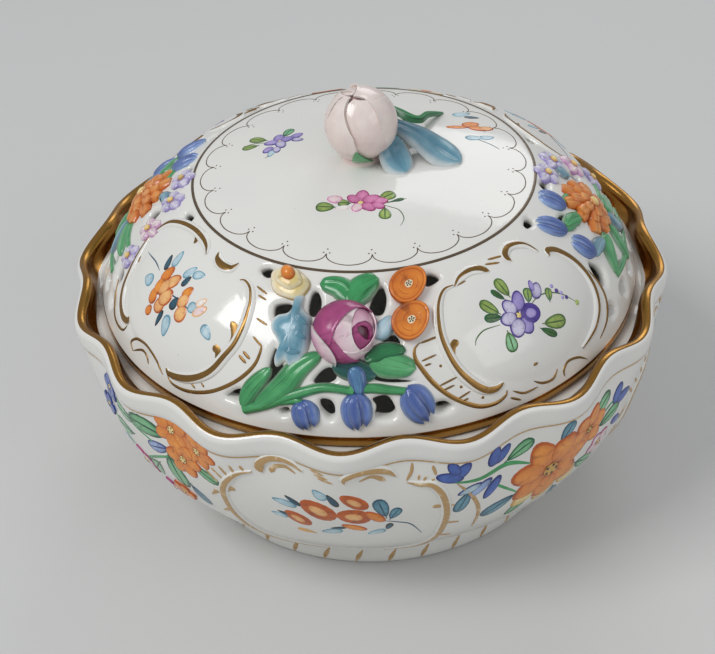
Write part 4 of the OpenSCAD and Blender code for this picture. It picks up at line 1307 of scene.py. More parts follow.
def makeRufflePanel(angle, side):
    canvas = panelCanvas(angle, relief=0.68)
    makeRuffledFlower(canvas, side)
    for k, (a, v, lean) in enumerate(((-9.5, 0.87, 0.5), (-20, 0.8, -2.5), (-17, 0.56, -1.0))):
        middle = spot(a, v)
        top = middle + (-0.4 * lean, -4.4)
        tulipPiece(f"blueBud{k + 1}{side}", canvas, top, middle + (0.4 * lean, 4.2), 6.4)
    cool = (mix(enamel["lilac"], enamel["plum"], 0.2), mix(enamel["paleLilac"], enamel["white"], 0.3))
    rosy = (mix(enamel["pink"], enamel["lilac"], 0.4), mix(enamel["blush"], enamel["white"], 0.3))
    posies = ((3, 0.92, cool), (12.5, 0.85, cool), (17, 0.65, rosy), (18.6, 0.44, cool))
    for k, (a, v, tints) in enumerate(posies):
        makePosy(f"posy{k + 1}{side}", canvas, spot(a, v), tints)
    makeRuffleFoliage(canvas, side)


makeRosePanel(0, "Front")
makeRosePanel(180, "Back", fade=0.7)
makeRufflePanel(90, "Right")
makeRufflePanel(270, "Left")
print("panels ready")


# Finial

finial = {"thick": 1.1, "tall": 1.04, "axis": (-0.14, -0.34, 1.0), "leafAngle": 141, "sprayAngle": 96,
          "rosy": paint(226, 204, 198), "pale": paint(236, 224, 217), "shade": paint(190, 156, 150)}


def makeRosebud():
    middle = (budBox[0].z + budBox[1].z) / 2 / mm
    r = (budBox[1].x - budBox[0].x) / 2 / mm + finial["thick"]

    def air(x, y, lift):
        return np.stack([x, y, middle + lift], axis=-1)
    bud = newBud(air, (0, 0), 0.0, finial["axis"], finial["tall"])
    heap = newHeap()
    # the heart is painted darker towards its top with the shade tint, painted shade where it shows
    # between the petals
    addBall(heap, bud, 0.95 * r, (finial["shade"], finial["rosy"]))
    flowerPiece("finialHeart", heap, "petal", "finial_core")
    # petals are (around, span, low, high, size, drop)
    petals = ((280, 200, 4, 165, 1.0, 0.3), (190, 150, 3, 150, 1.03, 0.42),
              (30, 150, 0, 150, 1.035, 0.42), (112, 170, 5, 140, 1.0, 0.3),
              (70, 150, 9, 120, 0.985, 0.3))
    for k, (around, span, low, high, size, drop) in enumerate(petals):
        heap = newHeap()
        addShell(heap, bud, around, span, low, high, size * r, (finial["rosy"], finial["pale"]),
                 finial["thick"], drop, bow=2.2, rows=28, cols=31, lip=0.45, lean=0.25)
        flowerPiece(f"finialPetal{k + 1}", heap, "petal")
    green = enamel["green"]
    tints = (mix(green, enamel["bottle"], 0.3), mix(green, enamel["leaf"], 0.5))
    heap = newHeap()
    for around, low in ((264, 88), (350, 116), (80, 112), (170, 118)):
        addShell(heap, bud, around, 58, low, 166, 1.085 * r, tints, thick=0.8, drop=0.85, bow=1.2,
                 rows=18, cols=13)
    flowerPiece("finialSepals", heap)


def makeStub():
    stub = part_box("finial_stub")
    low, high = stub[0].z / mm, stub[1].z / mm
    wide = stub[1].x / mm
    rows = [(0.5, low), (wide + 0.4, low), (wide + 0.2, low + 1.4), (wide - 0.3, high - 0.4),
            (wide - 1, high), (0.5, high)]
    heap = revolved(rows, 48)
    heap["tints"] = [np.tile(finial["rosy"], (heap["count"], 1))]
    heapPiece("finialStub", heap, materials["petal"], "lid", ["finial_stub"], sharp=50)


def crownRay(angle):
    return crownCanvas(0, 0, angle - 90)


def makeFinialLeaf():
    spine = [(7, 2), (12, 2.6), (17, 1.6), (22, -1), (28, 0.6), (36, 2)]
    widths, crest = [9, 12, 9.4, 4, 2, 1.7, 0.4], [0.9, 1.4, 1.4, 1.1, 0.8, 0.4]
    tints = (mix(enamel["green"], enamel["bottle"], 0.6), mix(enamel["green"], enamel["bottle"], 0.1))
    heap = newHeap()
    addRelief(heap, crownRay(finial["leafAngle"]), spine, widths, crest, tints, rows=36, sides=13,
              sink=0.9, lift=[12, 10, 6.4, 3.6, 2.8, 0.2], groove=0.4, full=0.4)
    flowerPiece("finialLeaf", heap)


def makeFinialSpray():
    tints = (mix(enamel["teal"], enamel["mist"], 0.5), enamel["teal"])
    blades = (
        ([(5, 3), (10, 3.6), (16, 2.6), (21, 0.6), (25, -2), (27.4, -3.6)],
         [4, 6, 8, 10, 11.6, 12, 10.6, 7, 1.4]),
        ([(4, -0.6), (7, -2.4), (9, -5), (10.6, -7.6), (11.8, -9.6)],
         [4, 6, 8, 9.4, 9.6, 8.6, 6, 1.4]),
    )
    crest, lift = [1.4, 1.7, 1.7, 1.5, 1.0], [9, 7, 4.4, 1.8, 0.5, 0.1]
    canvas = crownRay(finial["sprayAngle"])
    heap = newHeap()
    for spine, widths in blades:
        # the blades are painted deep teal where they leave the bud, a painted shadow at their roots
        addRelief(heap, canvas, spine, widths, crest, tints, rows=34, sides=15, sink=0.9, lift=lift,
                  groove=0.35, full=0.4, fade=0.7, root=enamel["deepTeal"])
    flowerPiece("finialSpray", heap)


makeRosebud()
makeStub()
makeFinialLeaf()
makeFinialSpray()
print("finial ready")


# Scroll frames: white moulded ribs with gilding drawn along them

both = (0.2, 0.75, 1, 1, 1, 0.75, 0.2)
head = (0.3, 1.2, 1.4, 1.25, 1.05, 0.95, 0.85, 0.75, 0.65, 0.5, 0.25)
tail = head[::-1]
lidScrolls = {
    "ribWide": 3.2, "ribTall": 0.6, "goldWide": 1.25,
    "ribs": [
        ([(4.1, 12.9), (3.8, 15.1), (6.9, 16.6), (10.9, 16), (13.8, 14.1), (15.2, 10.9)], head),
        ([(17.4, 7.8), (18.6, 9.2), (21.5, 7.4), (24.1, 2.8), (25.1, -2.4), (24.5, -7.7), (22.2, -12.2),
          (18.2, -15.4), (14.4, -16.9), (11, -17.8)], head),
        ([(-17.4, 13), (-14.8, 14.9), (-10.6, 15.7), (-7.1, 15), (-4.8, 13.3)], tail),
        ([(-17.7, 13.4), (-20.8, 13), (-23.3, 10.9), (-25, 7.5), (-25.9, 2.3), (-25.4, -2.7),
          (-23.7, -8.1), (-20.8, -12.7), (-18, -15.4), (-15.5, -15.9), (-13.5, -15.1)], tail),
    ],
    "lines": [
        ([(-26.2, 1.4), (-31.8, 0.4)], 0.6, both),
        ([(-31.8, 0.6), (-33.4, -0.9), (-33.6, -3.3), (-32.5, -6), (-30, -10.5), (-26.9, -14.3),
          (-23.4, -17.3), (-20, -19.3), (-16.3, -19.7), (-13.7, -18.7), (-13, -17.4)], 1.2, both),
        ([(-22, -0.9), (-23.5, -2.1), (-24, -4.9), (-23.3, -8.4)], 1.4, head),
        ([(26.7, -2.9), (27.5, -8.1), (26.6, -13.2), (23.2, -17.3), (18, -19.5)], 0.8, both),
        ([(-28.2, -3.2), (-32.2, -4.2)], 0.5, both), ([(-29.9, -5.2), (-31.6, -5.5)], 0.5, both),
        ([(-24.3, -10), (-28.9, -11.3)], 0.5, both), ([(-25.3, -11.9), (-28.1, -12.6)], 0.5, both),
        ([(-21.8, -14.5), (-25.1, -15.7)], 0.5, both), ([(-22.6, -16.2), (-24.1, -16.6)], 0.5, both),
        ([(-2.4, 16.4), (3, 15.4)], 0.7, both), ([(-4.4, 15.5), (0.4, 14.1)], 0.7, both),
        ([(-17.4, 13), (-13.3, 13.4)], 0.5, both), ([(-4.8, -14), (-3.5, -13.9)], 0.7, both),
        ([(-5.7, -18.1), (-3.4, -19.8), (-0.4, -20.2), (1.6, -18.4)], 0.7, both),
        ([(-11.6, -18.2), (-8.8, -20), (-5, -20.1)], 0.6, both),
        ([(-12.6, -19.7), (-10.1, -21.4)], 0.6, both),
        ([(3, -21.4), (3.4, -19.6), (5.4, -18.3), (8.7, -19.2), (11.3, -21.4)], 0.7, both),
    ],
    "dots": [(-27.7, -6.3), (-23.8, -12.8), (-19.2, -17.1)],
}
otherScrolls = {
    "ribWide": 3.2, "ribTall": 0.6, "goldWide": 1.25,
    "ribs": [
        ([(-29, 5.6), (-28.3, 2.9), (-26.8, -0.9), (-25.2, -5.3), (-23.5, -9.8), (-20.7, -13.1),
          (-17.1, -14.9), (-14.6, -14.5), (-14.4, -13.1)], tail),
        ([(-29, 5.8), (-28.4, 10.1), (-26.3, 13.4), (-21.1, 16.2), (-14.3, 17.8), (-8.1, 17.8),
          (-3.9, 16.8), (-1.2, 15.1)], both),
        ([(2.3, 17.4), (4.1, 15.7), (7.5, 14.8), (10.7, 15.3),
          (12.2, 17.4)], (0.3, 0.8, 1.3, 1.6, 1.4, 0.9, 0.3)),
        ([(16.2, 13.4), (18, 13.7), (20.8, 12.3), (22.7, 9.3), (23.4, 6.1), (23.6, 1.7), (22.8, -2.9),
          (21, -6.8), (18.7, -11.2), (15.9, -14.2), (12.6, -16.3), (9, -17.6), (6.3, -17.9),
          (5.2, -17)], tail),
    ],
    "lines": [
        ([(-29.1, -11.1), (-25.6, -15.4), (-22.1, -18.3), (-18.5, -18.9), (-15.4, -18.1),
          (-14.2, -15.9)], 0.8, both),
        ([(-16.2, 17), (-11.8, 16.8), (-9.1, 15.3)], 0.9, tail),
        ([(-27, 0.6), (-24.6, -1.4)], 1.2, head),
        ([(19.8, 2.2), (21.2, 1), (22, -1.5), (21.5, -4.5), (20.6, -7.5), (18.7, -11.2)], 1.5, head),
        ([(17.3, -5.3), (18.9, -6.4), (19.2, -8.8), (18.7, -11.2)], 1.5, head),
        ([(5.7, -18.4), (7.5, -20), (10.9, -20.2), (15.1, -19.2), (20, -16.8), (24.8, -12.9),
          (27.9, -9.3), (29.7, -5.9), (30.2, -2.1), (29.4, -0.8)], 1.0, both),
        ([(-8.5, -19.8), (-10.2, -18.3), (-8.1, -16), (-3.8, -15.1), (0.3, -16.3), (3.1, -18.4),
          (4.4, -19.4)], 0.8, both),
        ([(-8.4, -19.9), (-5, -17.5), (-2.7, -17.8), (-1.2, -19.5)], 0.7, both),
        ([(25.5, -4.1), (27.9, -5.6)], 0.8, both), ([(24.7, -5.4), (27.1, -6.9)], 0.8, both),
        ([(22.6, 13.4), (27, 12.1)], 0.6, both), ([(24.3, 11.2), (27.4, 10.5)], 0.6, both),
        ([(26.4, 5.2), (30.2, 4.1)], 0.6, both), ([(27.1, 0.4), (30.1, -1.6)], 0.6, both),
        ([(13.4, -17.2), (15, -18.2)], 0.5, both), ([(16.4, -16), (17.4, -16.8)], 0.5, both),
    ],
}
bowlScrolls = {
    "ribWide": 3.0, "ribTall": 0.7, "goldWide": 1.7,
    "ribs": [
        ([(-20.7, 57), (-21.2, 59.6), (-19, 61.5), (-15.8, 61.9), (-12.6, 61.4), (-9.9, 59.8)], head),
        ([(0.8, 58.4), (1, 60.4), (3.6, 61.9), (7.7, 61.7), (11.6, 60), (13.7, 57.8)], both),
        ([(16.6, 55.4), (19.4, 54.5), (23, 54), (25.6, 49.8), (27, 42.3), (26.6, 34.6), (24.9, 26),
          (20, 18), (10, 13.4)], both),
        ([(-23.5, 56.9), (-27.6, 55.5), (-31.1, 51.4), (-33.4, 46.3), (-33.7, 40.5), (-32.6, 33),
          (-29, 24), (-22, 17), (-10, 13.4)], both),
    ],
    "lines": [
        ([(-18.4, 57), (-17.3, 58.9), (-14.4, 59.5), (-11.8, 58.2)], 1.2, head),
        ([(4.6, 58.6), (7.6, 59.4), (11, 57)], 1.0, tail), ([(-7.7, 61.4), (-4.3, 60.7)], 0.8, both),
        ([(-6.8, 60.2), (-3.4, 59.3)], 0.8, both), ([(-5.9, 59), (-2.2, 58)], 0.8, both),
        ([(-29.7, 48), (-31.8, 46.6), (-33.8, 43.4)], 1.3, head),
        ([(-37.7, 52.4), (-34.7, 48.6)], 0.9, both), ([(-35.5, 54.6), (-32.7, 51.2)], 0.9, both),
        ([(-32.7, 56.9), (-30.8, 53.5)], 0.9, both), ([(-29.5, 58.5), (-28.5, 55.5)], 0.8, both),
        ([(-26.6, 58.8), (-25.7, 56.9)], 0.8, both), ([(-36, 44), (-38.5, 41)], 1.2, head),
        ([(-35, 35), (-37.5, 33)], 1.2, head), ([(18, 61.3), (17.7, 58.5), (16.4, 55.8)], 0.9, both),
        ([(23.1, 60.8), (23.8, 57.5)], 0.9, both),
        ([(29.3, 53.4), (33.9, 46), (36.6, 37.8), (36.6, 27.8)], 1.2, both),
        ([(23.1, 45), (29.1, 43.9)], 1.1, head), ([(26.5, 35.4), (31.3, 34.2)], 1.1, head),
        ([(20.7, 55.4), (21.5, 57)], 0.6, both), ([(19.4, 55.8), (19.7, 57.4)], 0.6, both),
        ([(22.4, 54.8), (23.4, 56.2)], 0.6, both), ([(26, 27), (30.5, 25)], 1.0, head),
    ],
}


def makeScrolls(name, canvas, scrolls, body, node, finish):
    ribs, gold = newHeap(), newHeap()
    ochre, white = enamel["ochre"], enamel["white"]
    crest = scrolls["ribTall"] * np.array([0.5, 1, 1, 1, 0.5])
    widths = scrolls["ribWide"] * np.array([0.35, 1, 1, 1, 0.4])
    for rib, taper in scrolls["ribs"]:
        rows = 7 * len(rib)
        addRelief(ribs, canvas, rib, widths, crest, (white, white), rows=rows, sides=9, sink=0.6)
        addRelief(gold, canvas, rib, scrolls["goldWide"] * np.array(taper), [0.1] * 2, (ochre, ochre),
                  rows=rows, sides=5, sink=0.25, lift=0.94 * crest)
    for line, width, taper in scrolls["lines"]:
        addRelief(gold, canvas, line, width * np.array(taper), [0.14] * 2, (ochre, ochre),
                  rows=7 * len(line), sides=5, sink=0.15, lift=0.06)
    for x, y in scrolls.get("dots", []):
        addDot(gold, canvas, x, y, 0.4, ochre, lift=0.12)
    heapPiece("scrolls" + name, ribs, materials["porcelain"], body, [node])
    heapPiece("gilding" + name, gold, materials[finish], body)


corners = {"FrontRight": 45, "BackRight": 135, "BackLeft": 225, "FrontLeft": 315}
sides = {"Front": 0, "Right": 90, "Back": 180, "Left": 270}
for k, (name, angle) in enumerate(corners.items()):
    scrolls = (lidScrolls, otherScrolls)[k % 2]
    makeScrolls("Lid" + name, fieldCanvas(angle), scrolls, "lid", "lid_frame" + nodeOf(name), "gilt")
for name, angle in sides.items():
    node = "bowl_frame" + nodeOf(name)
    makeScrolls("Bowl" + name, bowlCanvas(angle), bowlScrolls, "bowl", node, "ochreGold")
print("scrolls ready")


# Painted sprays

def centred(x, y, length, turn):
    c, s = heading(turn)
    return x - 0.5 * length * c, y - 0.5 * length * s


def wayOut(x, y, middle):
    return math.degrees(math.atan2(y - middle[1], x - middle[0]))


def addSpray(heap, canvas, spray):
    # petals and leaves are (x, y, length, width, turn, tints), placed by their middle;
    # a turn of None points away from the middle of the spray
    middle = spray["middle"]
    for points, wide, tint in spray.get("stems", []):
        addStroke(heap, canvas, points, wide, enamel[tint], height=0.08)
    for x, y, length, wide, turn, tints in spray["leaves"]:
        way = wayOut(x, y, middle) if turn is None else turn
        draw = addPetal if tints in (greyLeaf, darkLeaf) else addLeaf
        deep, light = enamel[tints[0]], enamel[tints[1]]
        draw(heap, canvas, *centred(x, y, length, way), length, wide, way, deep, light, lift=0.1)
    for k, (x, y, length, wide, turn, tints) in enumerate(spray.get("petals", [])):
        way = wayOut(x, y, middle) if turn is None else turn
        deep, light = enamel[tints[0]], enamel[tints[1]]
        lift = 0.12 + 0.03 * (k % 4)
        addPetal(heap, canvas, *centred(x, y, length, way), length, wide, way, deep, light, lift, 0.1)
        if len(tints) > 2:        # an inner petal
            inner = 0.62 * length
            addPetal(heap, canvas, *centred(x, y, inner, way), inner, 0.56 * wide, way, deep,
                     enamel[tints[2]], lift + 0.06, 0.1)
    for n, (x, y, size, petals, tints) in enumerate(spray.get("blossoms", [])):
        deep, light, eye = [enamel[tint] for tint in tints]
        lift = 0.18 + 0.06 * n
        addBlossom(heap, canvas, x, y, size, petals, deep, light, eye, 70 + 9 * x, lift)
        for k in range(5):
            c, s = heading(72 * k)
            addDot(heap, canvas, x + 0.07 * size * c, y + 0.07 * size * s, 0.02 * size, enamel["soot"],
                   lift=0.1, base=lift + 0.14)
    for x, y, size, tint in spray.get("dots", []):
        addDot(heap, canvas, x, y, size, enamel[tint], lift=0.22)


def sprayPiece(name, canvas, spray, body):
    heap = newHeap()
    addSpray(heap, canvas, spray)
    heapPiece(name, heap, materials["brushed"], body)


greyLeaf, darkLeaf, tealLeaf = ("teal", "mist"), ("soot", "deepTeal"), ("deepTeal", "teal")
freshLeaf, oliveLeaf, mossLeaf = ("bottle", "leaf"), ("moss", "olive"), ("bottle", "moss")
warm, pale, kernel = ("rust", "orange"), ("rust", "apricot"), ("rust", "rust", "apricot")
orangeSpray = {
    "middle": (-3, 1),
    "stems": [([(-24, 2.9), (-17, 3.8), (-12.2, 3.3)], 0.4, "deepTeal"),
              ([(-6, 0), (0, 1), (8, 0)], 0.4, "deepTeal")],
    "leaves": [(-9.2, 9.1, 5.4, 2.8, 105, greyLeaf), (-14, -0.7, 4.4, 3.6, 190, greyLeaf),
               (-1.2, 8.6, 5, 2.6, 60, greyLeaf), (2.4, 9.3, 4.6, 2.6, 20, greyLeaf),
               (0.9, -6.8, 6, 3, 280, greyLeaf), (6.9, 1.2, 3.6, 3, 0, greyLeaf),
               (13.9, -2.9, 4.6, 2.8, 320, greyLeaf), (-11.5, 6.6, 5, 2.2, 120, darkLeaf),
               (-0.2, 6.1, 3.8, 2, 70, darkLeaf), (0.3, -0.5, 4, 2.6, 80, darkLeaf),
               (-2.3, -6.3, 5, 1.6, 265, darkLeaf)],
    "petals": [(-8.3, 4.3, 5.6, 3.6, 75, warm), (-4.4, 3.9, 5.8, 3.8, 50, pale),
               (-8.2, 0.4, 5.2, 3.6, 95, warm), (-3.6, -0.7, 6, 4.4, 60, pale),
               (-4.4, -3.4, 4.8, 4, 85, pale), (-8.4, -2.8, 4.6, 3.4, 110, warm),
               (-6.2, 1.2, 5.6, 4, 70, pale), (-7.4, -6.6, 3.2, 2.6, 80, warm),
               (2.6, 3.9, 4.2, 2.8, 60, warm), (2.8, 1.4, 4.6, 3.6, 75, pale),
               (4, -1.8, 5, 4, 85, pale), (9.4, 1.3, 5, 2.6, 45, ("apricot", "blush")),
               (8.6, 3.4, 4, 2, 50, ("apricot", "white"))],
}
purple, lilac, violet = ("plum", "lilac"), ("plum", "paleLilac"), ("plum", "plum", "lilac")
purpleSpray = {
    "middle": (-3.4, -0.4),
    "stems": [([(-9.8, -0.7), (-14.4, -0.5), (-17.1, -1.9), (-17.9, -3.5)], 0.35, "moss"),
              ([(0, 0), (4, 1.2), (8, 0.6), (12, -2), (15, -6)], 0.35, "moss")],
    "leaves": [(-4.1, 7.9, 5.6, 3.6, 100, oliveLeaf), (-6.6, 6.6, 4.4, 1.8, 125, mossLeaf),
               (-10.7, 4.4, 6, 3.2, 130, oliveLeaf), (-10.9, 1.6, 5, 2.4, 165, mossLeaf),
               (-8.7, -5.9, 5.4, 3.2, 268, ("moss", "leaf")), (5.6, -6.8, 7.2, 3.8, 340, oliveLeaf),
               (2.6, -8.2, 5.4, 2, 315, mossLeaf), (1.8, 3, 4, 2.8, 60, ("bottle", "olive")),
               (8, 0.2, 3.6, 2.4, 60, ("bottle", "olive"))],
    "petals": [(-1.9, 2.9, 5.8, 4, 62, purple), (-5.2, 2.3, 5, 4, 118, lilac),
               (-6.8, -0.2, 5.2, 4, 175, lilac), (-5.4, -3.2, 5.4, 4.8, 244, lilac),
               (-2.8, -3.6, 5.2, 4.2, 283, purple), (-0.2, -1.4, 6.2, 5.6, 340, violet),
               (5, 2.8, 5, 3.4, 40, lilac), (4.4, 4.4, 3.6, 1.8, 70, purple)],
    "dots": [(-3.8, -0.4, 0.8, "yellow"), (-3.6, 0.3, 0.3, "soot"), (-4.4, -0.2, 0.3, "soot"),
             (10.4, 1.4, 0.6, "lilac"), (11, -0.4, 0.7, "plum"), (12, -1.6, 0.6, "lilac"),
             (12.9, -3.4, 0.6, "plum"), (11.6, -2.8, 0.5, "lilac"), (15.4, -6.5, 0.8, "olive")],
}
fieldSprays = ((purpleSpray, "lilac_enamel"), (orangeSpray, "orange_enamel"))
for k, (name, angle) in enumerate(corners.items()):
    spray, slot = fieldSprays[k % 2]
    sprayPiece("fieldSpray" + name, fieldCanvas(angle), spray, "lid")

bowlSpray = {
    "middle": (-3, 42.5),
    "stems": [([(10.6, 40.6), (14, 39.6), (17.6, 37.6), (20.9, 31.3)], 0.5, "deepTeal")],
    "leaves": [(-15.8, 46.8, 7, 2.6, 162, greyLeaf), (-13.4, 48, 5.4, 1.6, 140, darkLeaf),
               (-18, 40.7, 4.8, 2, 165, greyLeaf), (-16.4, 41.8, 4.4, 1.2, 160, darkLeaf),
               (-6, 52, 5, 3.2, 130, greyLeaf), (-2.8, 50, 6, 2.2, 115, darkLeaf),
               (9.8, 46.6, 8, 4, 105, tealLeaf), (13.2, 44, 5.4, 3, 63, tealLeaf),
               (-4.2, 34.6, 6.4, 3, 195, greyLeaf), (-2.2, 36.8, 4.6, 1.4, 190, darkLeaf),
               (8.2, 34.6, 5.6, 2.6, 205, greyLeaf), (11.6, 37.6, 3.6, 2, 250, darkLeaf),
               (-11.8, 33.4, 5, 2.2, 165, ("ochre", "apricot"))],
    "petals": [(-12.9, 40.2, 8.8, 4.8, 137, kernel), (-6.9, 45, 11.2, 7, 139, kernel),
               (2.8, 49.6, 9, 5, 138, kernel), (8, 42.8, 7, 3.4, 135, warm),
               (2.4, 42.9, 9.4, 6.8, 170, kernel), (2.2, 37.4, 7.4, 2.8, 160, warm)],
}
for name, angle in sides.items():
    sprayPiece("bowlSpray" + name, bowlCanvas(angle), bowlSpray, "bowl")

anemone, gentian = ("rust", "orange", "yellow"), ("navy", "blue", "yellow")
pinkish, poppy, blueCup = ("magenta", "blush", "yellow"), ("rust", "orange", "ochre"), ("navy", "blue")
anemoneGroup = {
    "middle": (14, 52),
    "stems": [([(18, 52), (8, 46), (-2, 38), (-8, 30)], 1.0, "green"),
              ([(12, 50), (2, 54), (-6, 57)], 0.9, "green"),
              ([(-4, 38), (-10, 44), (-14, 52)], 0.9, "green")],
    "leaves": [(6, 57.2, 13, 7, 170, freshLeaf), (-4, 56, 11, 6, 190, freshLeaf),
               (14, 43.4, 13, 7, 280, freshLeaf), (9, 50.6, 9, 4.4, 200, ("navy", "sky")),
               (-8, 47, 10, 5.4, None, freshLeaf), (3, 38, 11, 6, None, freshLeaf),
               (26, 49.4, 9, 4.4, 330, freshLeaf), (-12, 39, 8, 4, None, greyLeaf),
               (20, 36, 9, 4.6, None, tealLeaf)],
    "blossoms": [(24.8, 58, 11, 6, anemone), (15.6, 59.6, 11.5, 6, anemone),
                 (18.8, 51.4, 11.5, 6, anemone), (-3.8, 36, 10, 5, pinkish), (-12.6, 58, 8, 5, gentian),
                 (-16, 50, 7, 5, gentian), (4, 28, 8, 5, pinkish), (12, 33, 8, 6, anemone)],
}
poppyGroup = {
    "middle": (-8, 46),
    "stems": [([(-36, 54), (-29.2, 53), (-21.5, 54.3), (-14, 51)], 1.6, "green"),
              ([(-16, 40), (-22, 46), (-26, 50)], 0.9, "green"),
              ([(4, 48), (12, 52), (20, 54)], 1.0, "green")],
    "leaves": [(-22, 36.6, 11, 5.4, None, tealLeaf), (-2.8, 58, 8, 4, None, tealLeaf),
               (11.4, 55.6, 11, 5, None, freshLeaf), (16.8, 49.6, 10, 5, None, freshLeaf),
               (-17, 57, 9, 4, 20, freshLeaf), (10, 36, 11, 6, None, freshLeaf),
               (-14, 31, 10, 5, None, freshLeaf), (1, 28, 8, 4, None, tealLeaf),
               (-33, 44, 9, 4, 250, tealLeaf)],
    "petals": [(-34, 58.4, 7.6, 4, 60, blueCup), (-37, 56, 7.4, 4.4, 170, blueCup),
               (-36, 59.6, 6, 3.4, 110, blueCup), (-25, 59.4, 7, 4, 80, blueCup),
               (-22.6, 58.6, 6.4, 3.6, 40, blueCup), (-28.6, 48.6, 9, 3.4, 225, ("navy", "sky")),
               (-25, 47.2, 9.4, 3.4, 245, blueCup), (-31.4, 49.4, 7.4, 3, 205, ("navy", "mist")),
               (20, 55, 7, 4, 60, blueCup), (23, 52.6, 7, 4, 10, blueCup),
               (22, 44, 7, 3.6, 330, blueCup), (-13, 35.6, 10, 7, 235, ("ochre", "yellow")),
               (-5.4, 33.4, 10, 8, 268, ("ochre", "yellow")),
               (2.4, 35.4, 10, 7, 300, ("ochre", "yellow"))],
    "blossoms": [(14, 41, 9, 5, pinkish), (6.4, 52, 14, 6, poppy), (-6.4, 44.6, 24, 7, poppy)],
}
for k, (name, angle) in enumerate(corners.items()):
    group = (poppyGroup, anemoneGroup)[k % 2]
    sprayPiece("bowlGroup" + name, bowlCanvas(angle), group, "bowl")

rosy, faint = ("magenta", "pink"), ("pink", "blush")
crownSprays = (
    ("Pink", "rose_enamel", (0, 0), 0, {
        "middle": (1.4, -22.3),
        "stems": [([(7, -22), (9.4, -21.4), (13.6, -19.6)], 0.5, "moss"),
                  ([(7, -22.6), (9.2, -23.4), (12, -24.6), (13.5, -27.8), (12.8, -30.9)], 0.3, "moss")],
        "leaves": [(-8.2, -24, 5.2, 4, 175, oliveLeaf), (-3.2, -22.4, 3.4, 3, 175, ("bottle", "olive")),
                   (8.4, -18.9, 5, 3.8, 40, oliveLeaf), (8.3, -26.4, 4.6, 3.4, 275, oliveLeaf),
                   (11.4, -20.4, 3.6, 1.4, 25, mossLeaf)],
        "petals": [(-5.8, -20.8, 4.6, 3.4, 165, faint), (-3.4, -24.4, 4.4, 2, 190, ("blush", "white")),
                   (6.6, -21.2, 4.6, 3.4, 15, rosy), (6.2, -23.2, 4.2, 2.8, 340, rosy),
                   (-0.6, -20.6, 4.6, 3.4, 140, rosy), (0.6, -24.2, 4, 3.2, 245, faint),
                   (3.6, -23.8, 4.8, 3.4, 325, rosy), (4, -20.6, 5.6, 3.8, 35, rosy),
                   (1.6, -19.4, 5.6, 4, 88, rosy)],
        "dots": [(1.4, -22.2, 0.9, "yellow")],
    }),
    ("Purple", "lilac_enamel", (-25.3, 10.2), 15, {
        "middle": (0, 0),
        "stems": [([(-2, 0), (-6, 2), (-10, 2)], 0.4, "moss"),
                  ([(0, -1), (-2, -5), (-5, -8)], 0.4, "moss")],
        "leaves": [(-5.6, 4, 5.4, 3.4, None, oliveLeaf), (3.4, 4.6, 5, 3, None, freshLeaf),
                   (-8.4, 0.6, 4.6, 2.8, None, oliveLeaf), (-3, -6, 4, 2, None, greyLeaf)],
        "petals": [(2.4, 0.6, 4.6, 3.4, 10, purple), (0.4, 2.2, 4.6, 3.4, 80, purple),
                   (-2, 0.2, 4.6, 3.2, 175, purple), (0.4, -2, 4.6, 3.2, 275, lilac),
                   (5.6, 1.6, 4, 2.8, 20, purple), (5.4, -1, 3.6, 2.4, 340, lilac),
                   (-3.6, -3.6, 4, 2.8, 225, purple), (-1.2, -4.6, 3.6, 2.4, 265, lilac)],
        "dots": [(0.3, 0.1, 0.6, "yellow")],
    }),
    ("Orange", "orange_enamel", (0, 0), 0, {
        "middle": (30, 21),
        "stems": [([(30, 15), (35, 12.8), (38.2, 10.3)], 0.35, "deepTeal"),
                  ([(24, 20), (29, 21), (34, 20)], 0.4, "deepTeal")],
        "leaves": [(26.5, 30, 6, 2.8, 30, greyLeaf), (30.8, 15, 5.4, 2.8, 15, greyLeaf),
                   (34.4, 16.2, 4.6, 2.6, 25, greyLeaf), (29.6, 28.6, 4.6, 1.8, 10, darkLeaf)],
        "petals": [(25.6, 20.6, 6.6, 2, 12, warm), (29.4, 23.4, 5.6, 3.4, 30, warm),
                   (31.4, 21.4, 5.6, 3.2, 355, warm), (34, 22, 4.4, 2.8, 20, pale)],
    }),
)
for name, slot, place, turn, spray in crownSprays:
    sprayPiece("crownSpray" + name, crownCanvas(*place, turn), spray, "lid")
print("sprays ready")


# Crown lace and its ring

def makeLace():
    lace = {"count": 22, "outer": 46.2, "cusp": 42.6, "line": 0.3, "dot": 0.24, "dotsAt": 40.9}
    half = math.pi / lace["count"]
    heap = newHeap()
    flat = crownCanvas(0, 0)

    def at(radius, angle):
        return (radius * math.sin(angle), -radius * math.cos(angle))
    arc = [at(lace["cusp"] + (lace["outer"] - lace["cusp"]) * math.sqrt(max(0, 1 - k * k)), k * half)
           for k in (-1, -0.94, -0.8, -0.5, 0, 0.5, 0.8, 0.94, 1)]
    addRelief(heap, flat, arc, [lace["line"]] * 2, [0.1] * 2, (enamel["soot"],) * 2, rows=26, sides=5,
              sink=0.15)
    for out, shift in ((0, 0), (1.3, 0.14), (1.3, -0.14)):
        place = at(lace["dotsAt"] + out, half * (1 + shift))
        addDot(heap, flat, *place, lace["dot"], enamel["soot"], lift=0.1)
    ringPiece("crownLace", heap, lace["count"], materials["lace"], "lid")


def makeCrownRing():
    ring = {"steps": 320, "line": [(0.35, -0.5), (0.38, -0.06), (0, 0.14), (-0.36, 0.2), (-0.4, -0.3)]}
    rows = [(crownRadius + r, ringHeight + z) for r, z in ring["line"]]
    turnedPiece("crownRing", rows + rows[:1], ring["steps"], "lace", "lid")


makeLace()
makeCrownRing()
print("crown ready")


# Stage

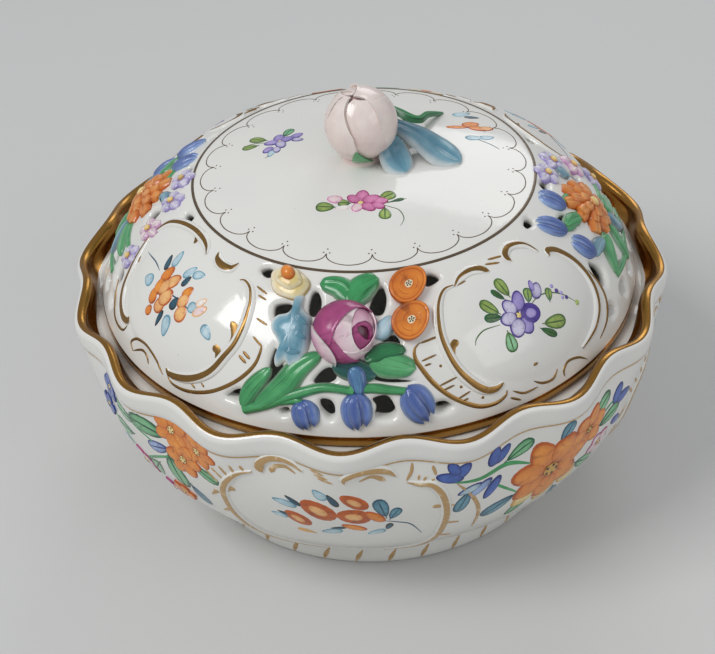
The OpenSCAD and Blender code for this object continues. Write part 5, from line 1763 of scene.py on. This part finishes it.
def makeStage():
    studio = {"distance": 500.0, "azimuth": 6.5, "elevation": 36.16, "lens": 84.2, "roll": 3.14,
              "height": 55.0, "aimRight": -3.5, "aimUp": -9.49}
    a, e = math.radians(studio["azimuth"]), math.radians(studio["elevation"])
    target = Vector((0, 0, studio["height"])) * mm
    back = Vector((math.sin(a) * math.cos(e), -math.cos(a) * math.cos(e), math.sin(e)))
    seat = target + back * studio["distance"] * mm

    def axes(look):
        right = look.cross(Vector((0, 0, 1))).normalized()
        up = right.cross(look).normalized()
        c, s = heading(studio["roll"])
        return right * c - up * s, up * c + right * s
    right, up = axes(-back)
    aim = target + (right * studio["aimRight"] + up * studio["aimUp"]) * mm
    look = (aim - seat).normalized()
    right, up = axes(look)
    lens = bpy.data.cameras.new("camera")
    lens.lens = studio["lens"]
    lens.clip_start = 0.01
    camera = bpy.data.objects.new("camera", lens)
    turn = Matrix((right, up, -look)).transposed().to_4x4()
    camera.matrix_world = Matrix.Translation(seat) @ turn
    scene.collection.objects.link(camera)
    scene.camera = camera

    material, _, shader = newMaterial("paleFloor")
    shader.inputs["Base Color"].default_value = colour(paint(206, 206, 204))
    shader.inputs["Roughness"].default_value = 0.7
    floorMesh = bpy.data.meshes.new("floor")
    floorMesh.from_pydata([(-4, -4, 0), (4, -4, 0), (4, 4, 0), (-4, 4, 0)], [], [(0, 1, 2, 3)])
    floorMesh.materials.append(material)
    floor = bpy.data.objects.new("floor", floorMesh)
    scene.collection.objects.link(floor)

    world = bpy.data.worlds.new("studio")
    world.use_nodes = True
    world.node_tree.nodes["Background"].inputs["Color"].default_value = (0.8, 0.82, 0.86, 1)
    world.node_tree.nodes["Background"].inputs["Strength"].default_value = 0.5
    scene.world = world
    lamps = [("key", (-0.55, -0.45, 0.95), 0.5, 6.0), ("fill", (0.8, -0.5, 0.6), 0.6, 1.6),
             ("rim", (0.2, 0.9, 0.7), 0.5, 1.8)]
    for name, place, size, power in lamps:
        light = bpy.data.lights.new(name, "AREA")
        light.size = size
        light.energy = power
        lamp = bpy.data.objects.new(name, light)
        turn = (target - Vector(place)).to_track_quat("-Z", "Y").to_matrix().to_4x4()
        lamp.matrix_world = Matrix.Translation(place) @ turn
        scene.collection.objects.link(lamp)
    scene.view_settings.view_transform = "Standard"


makeStage()
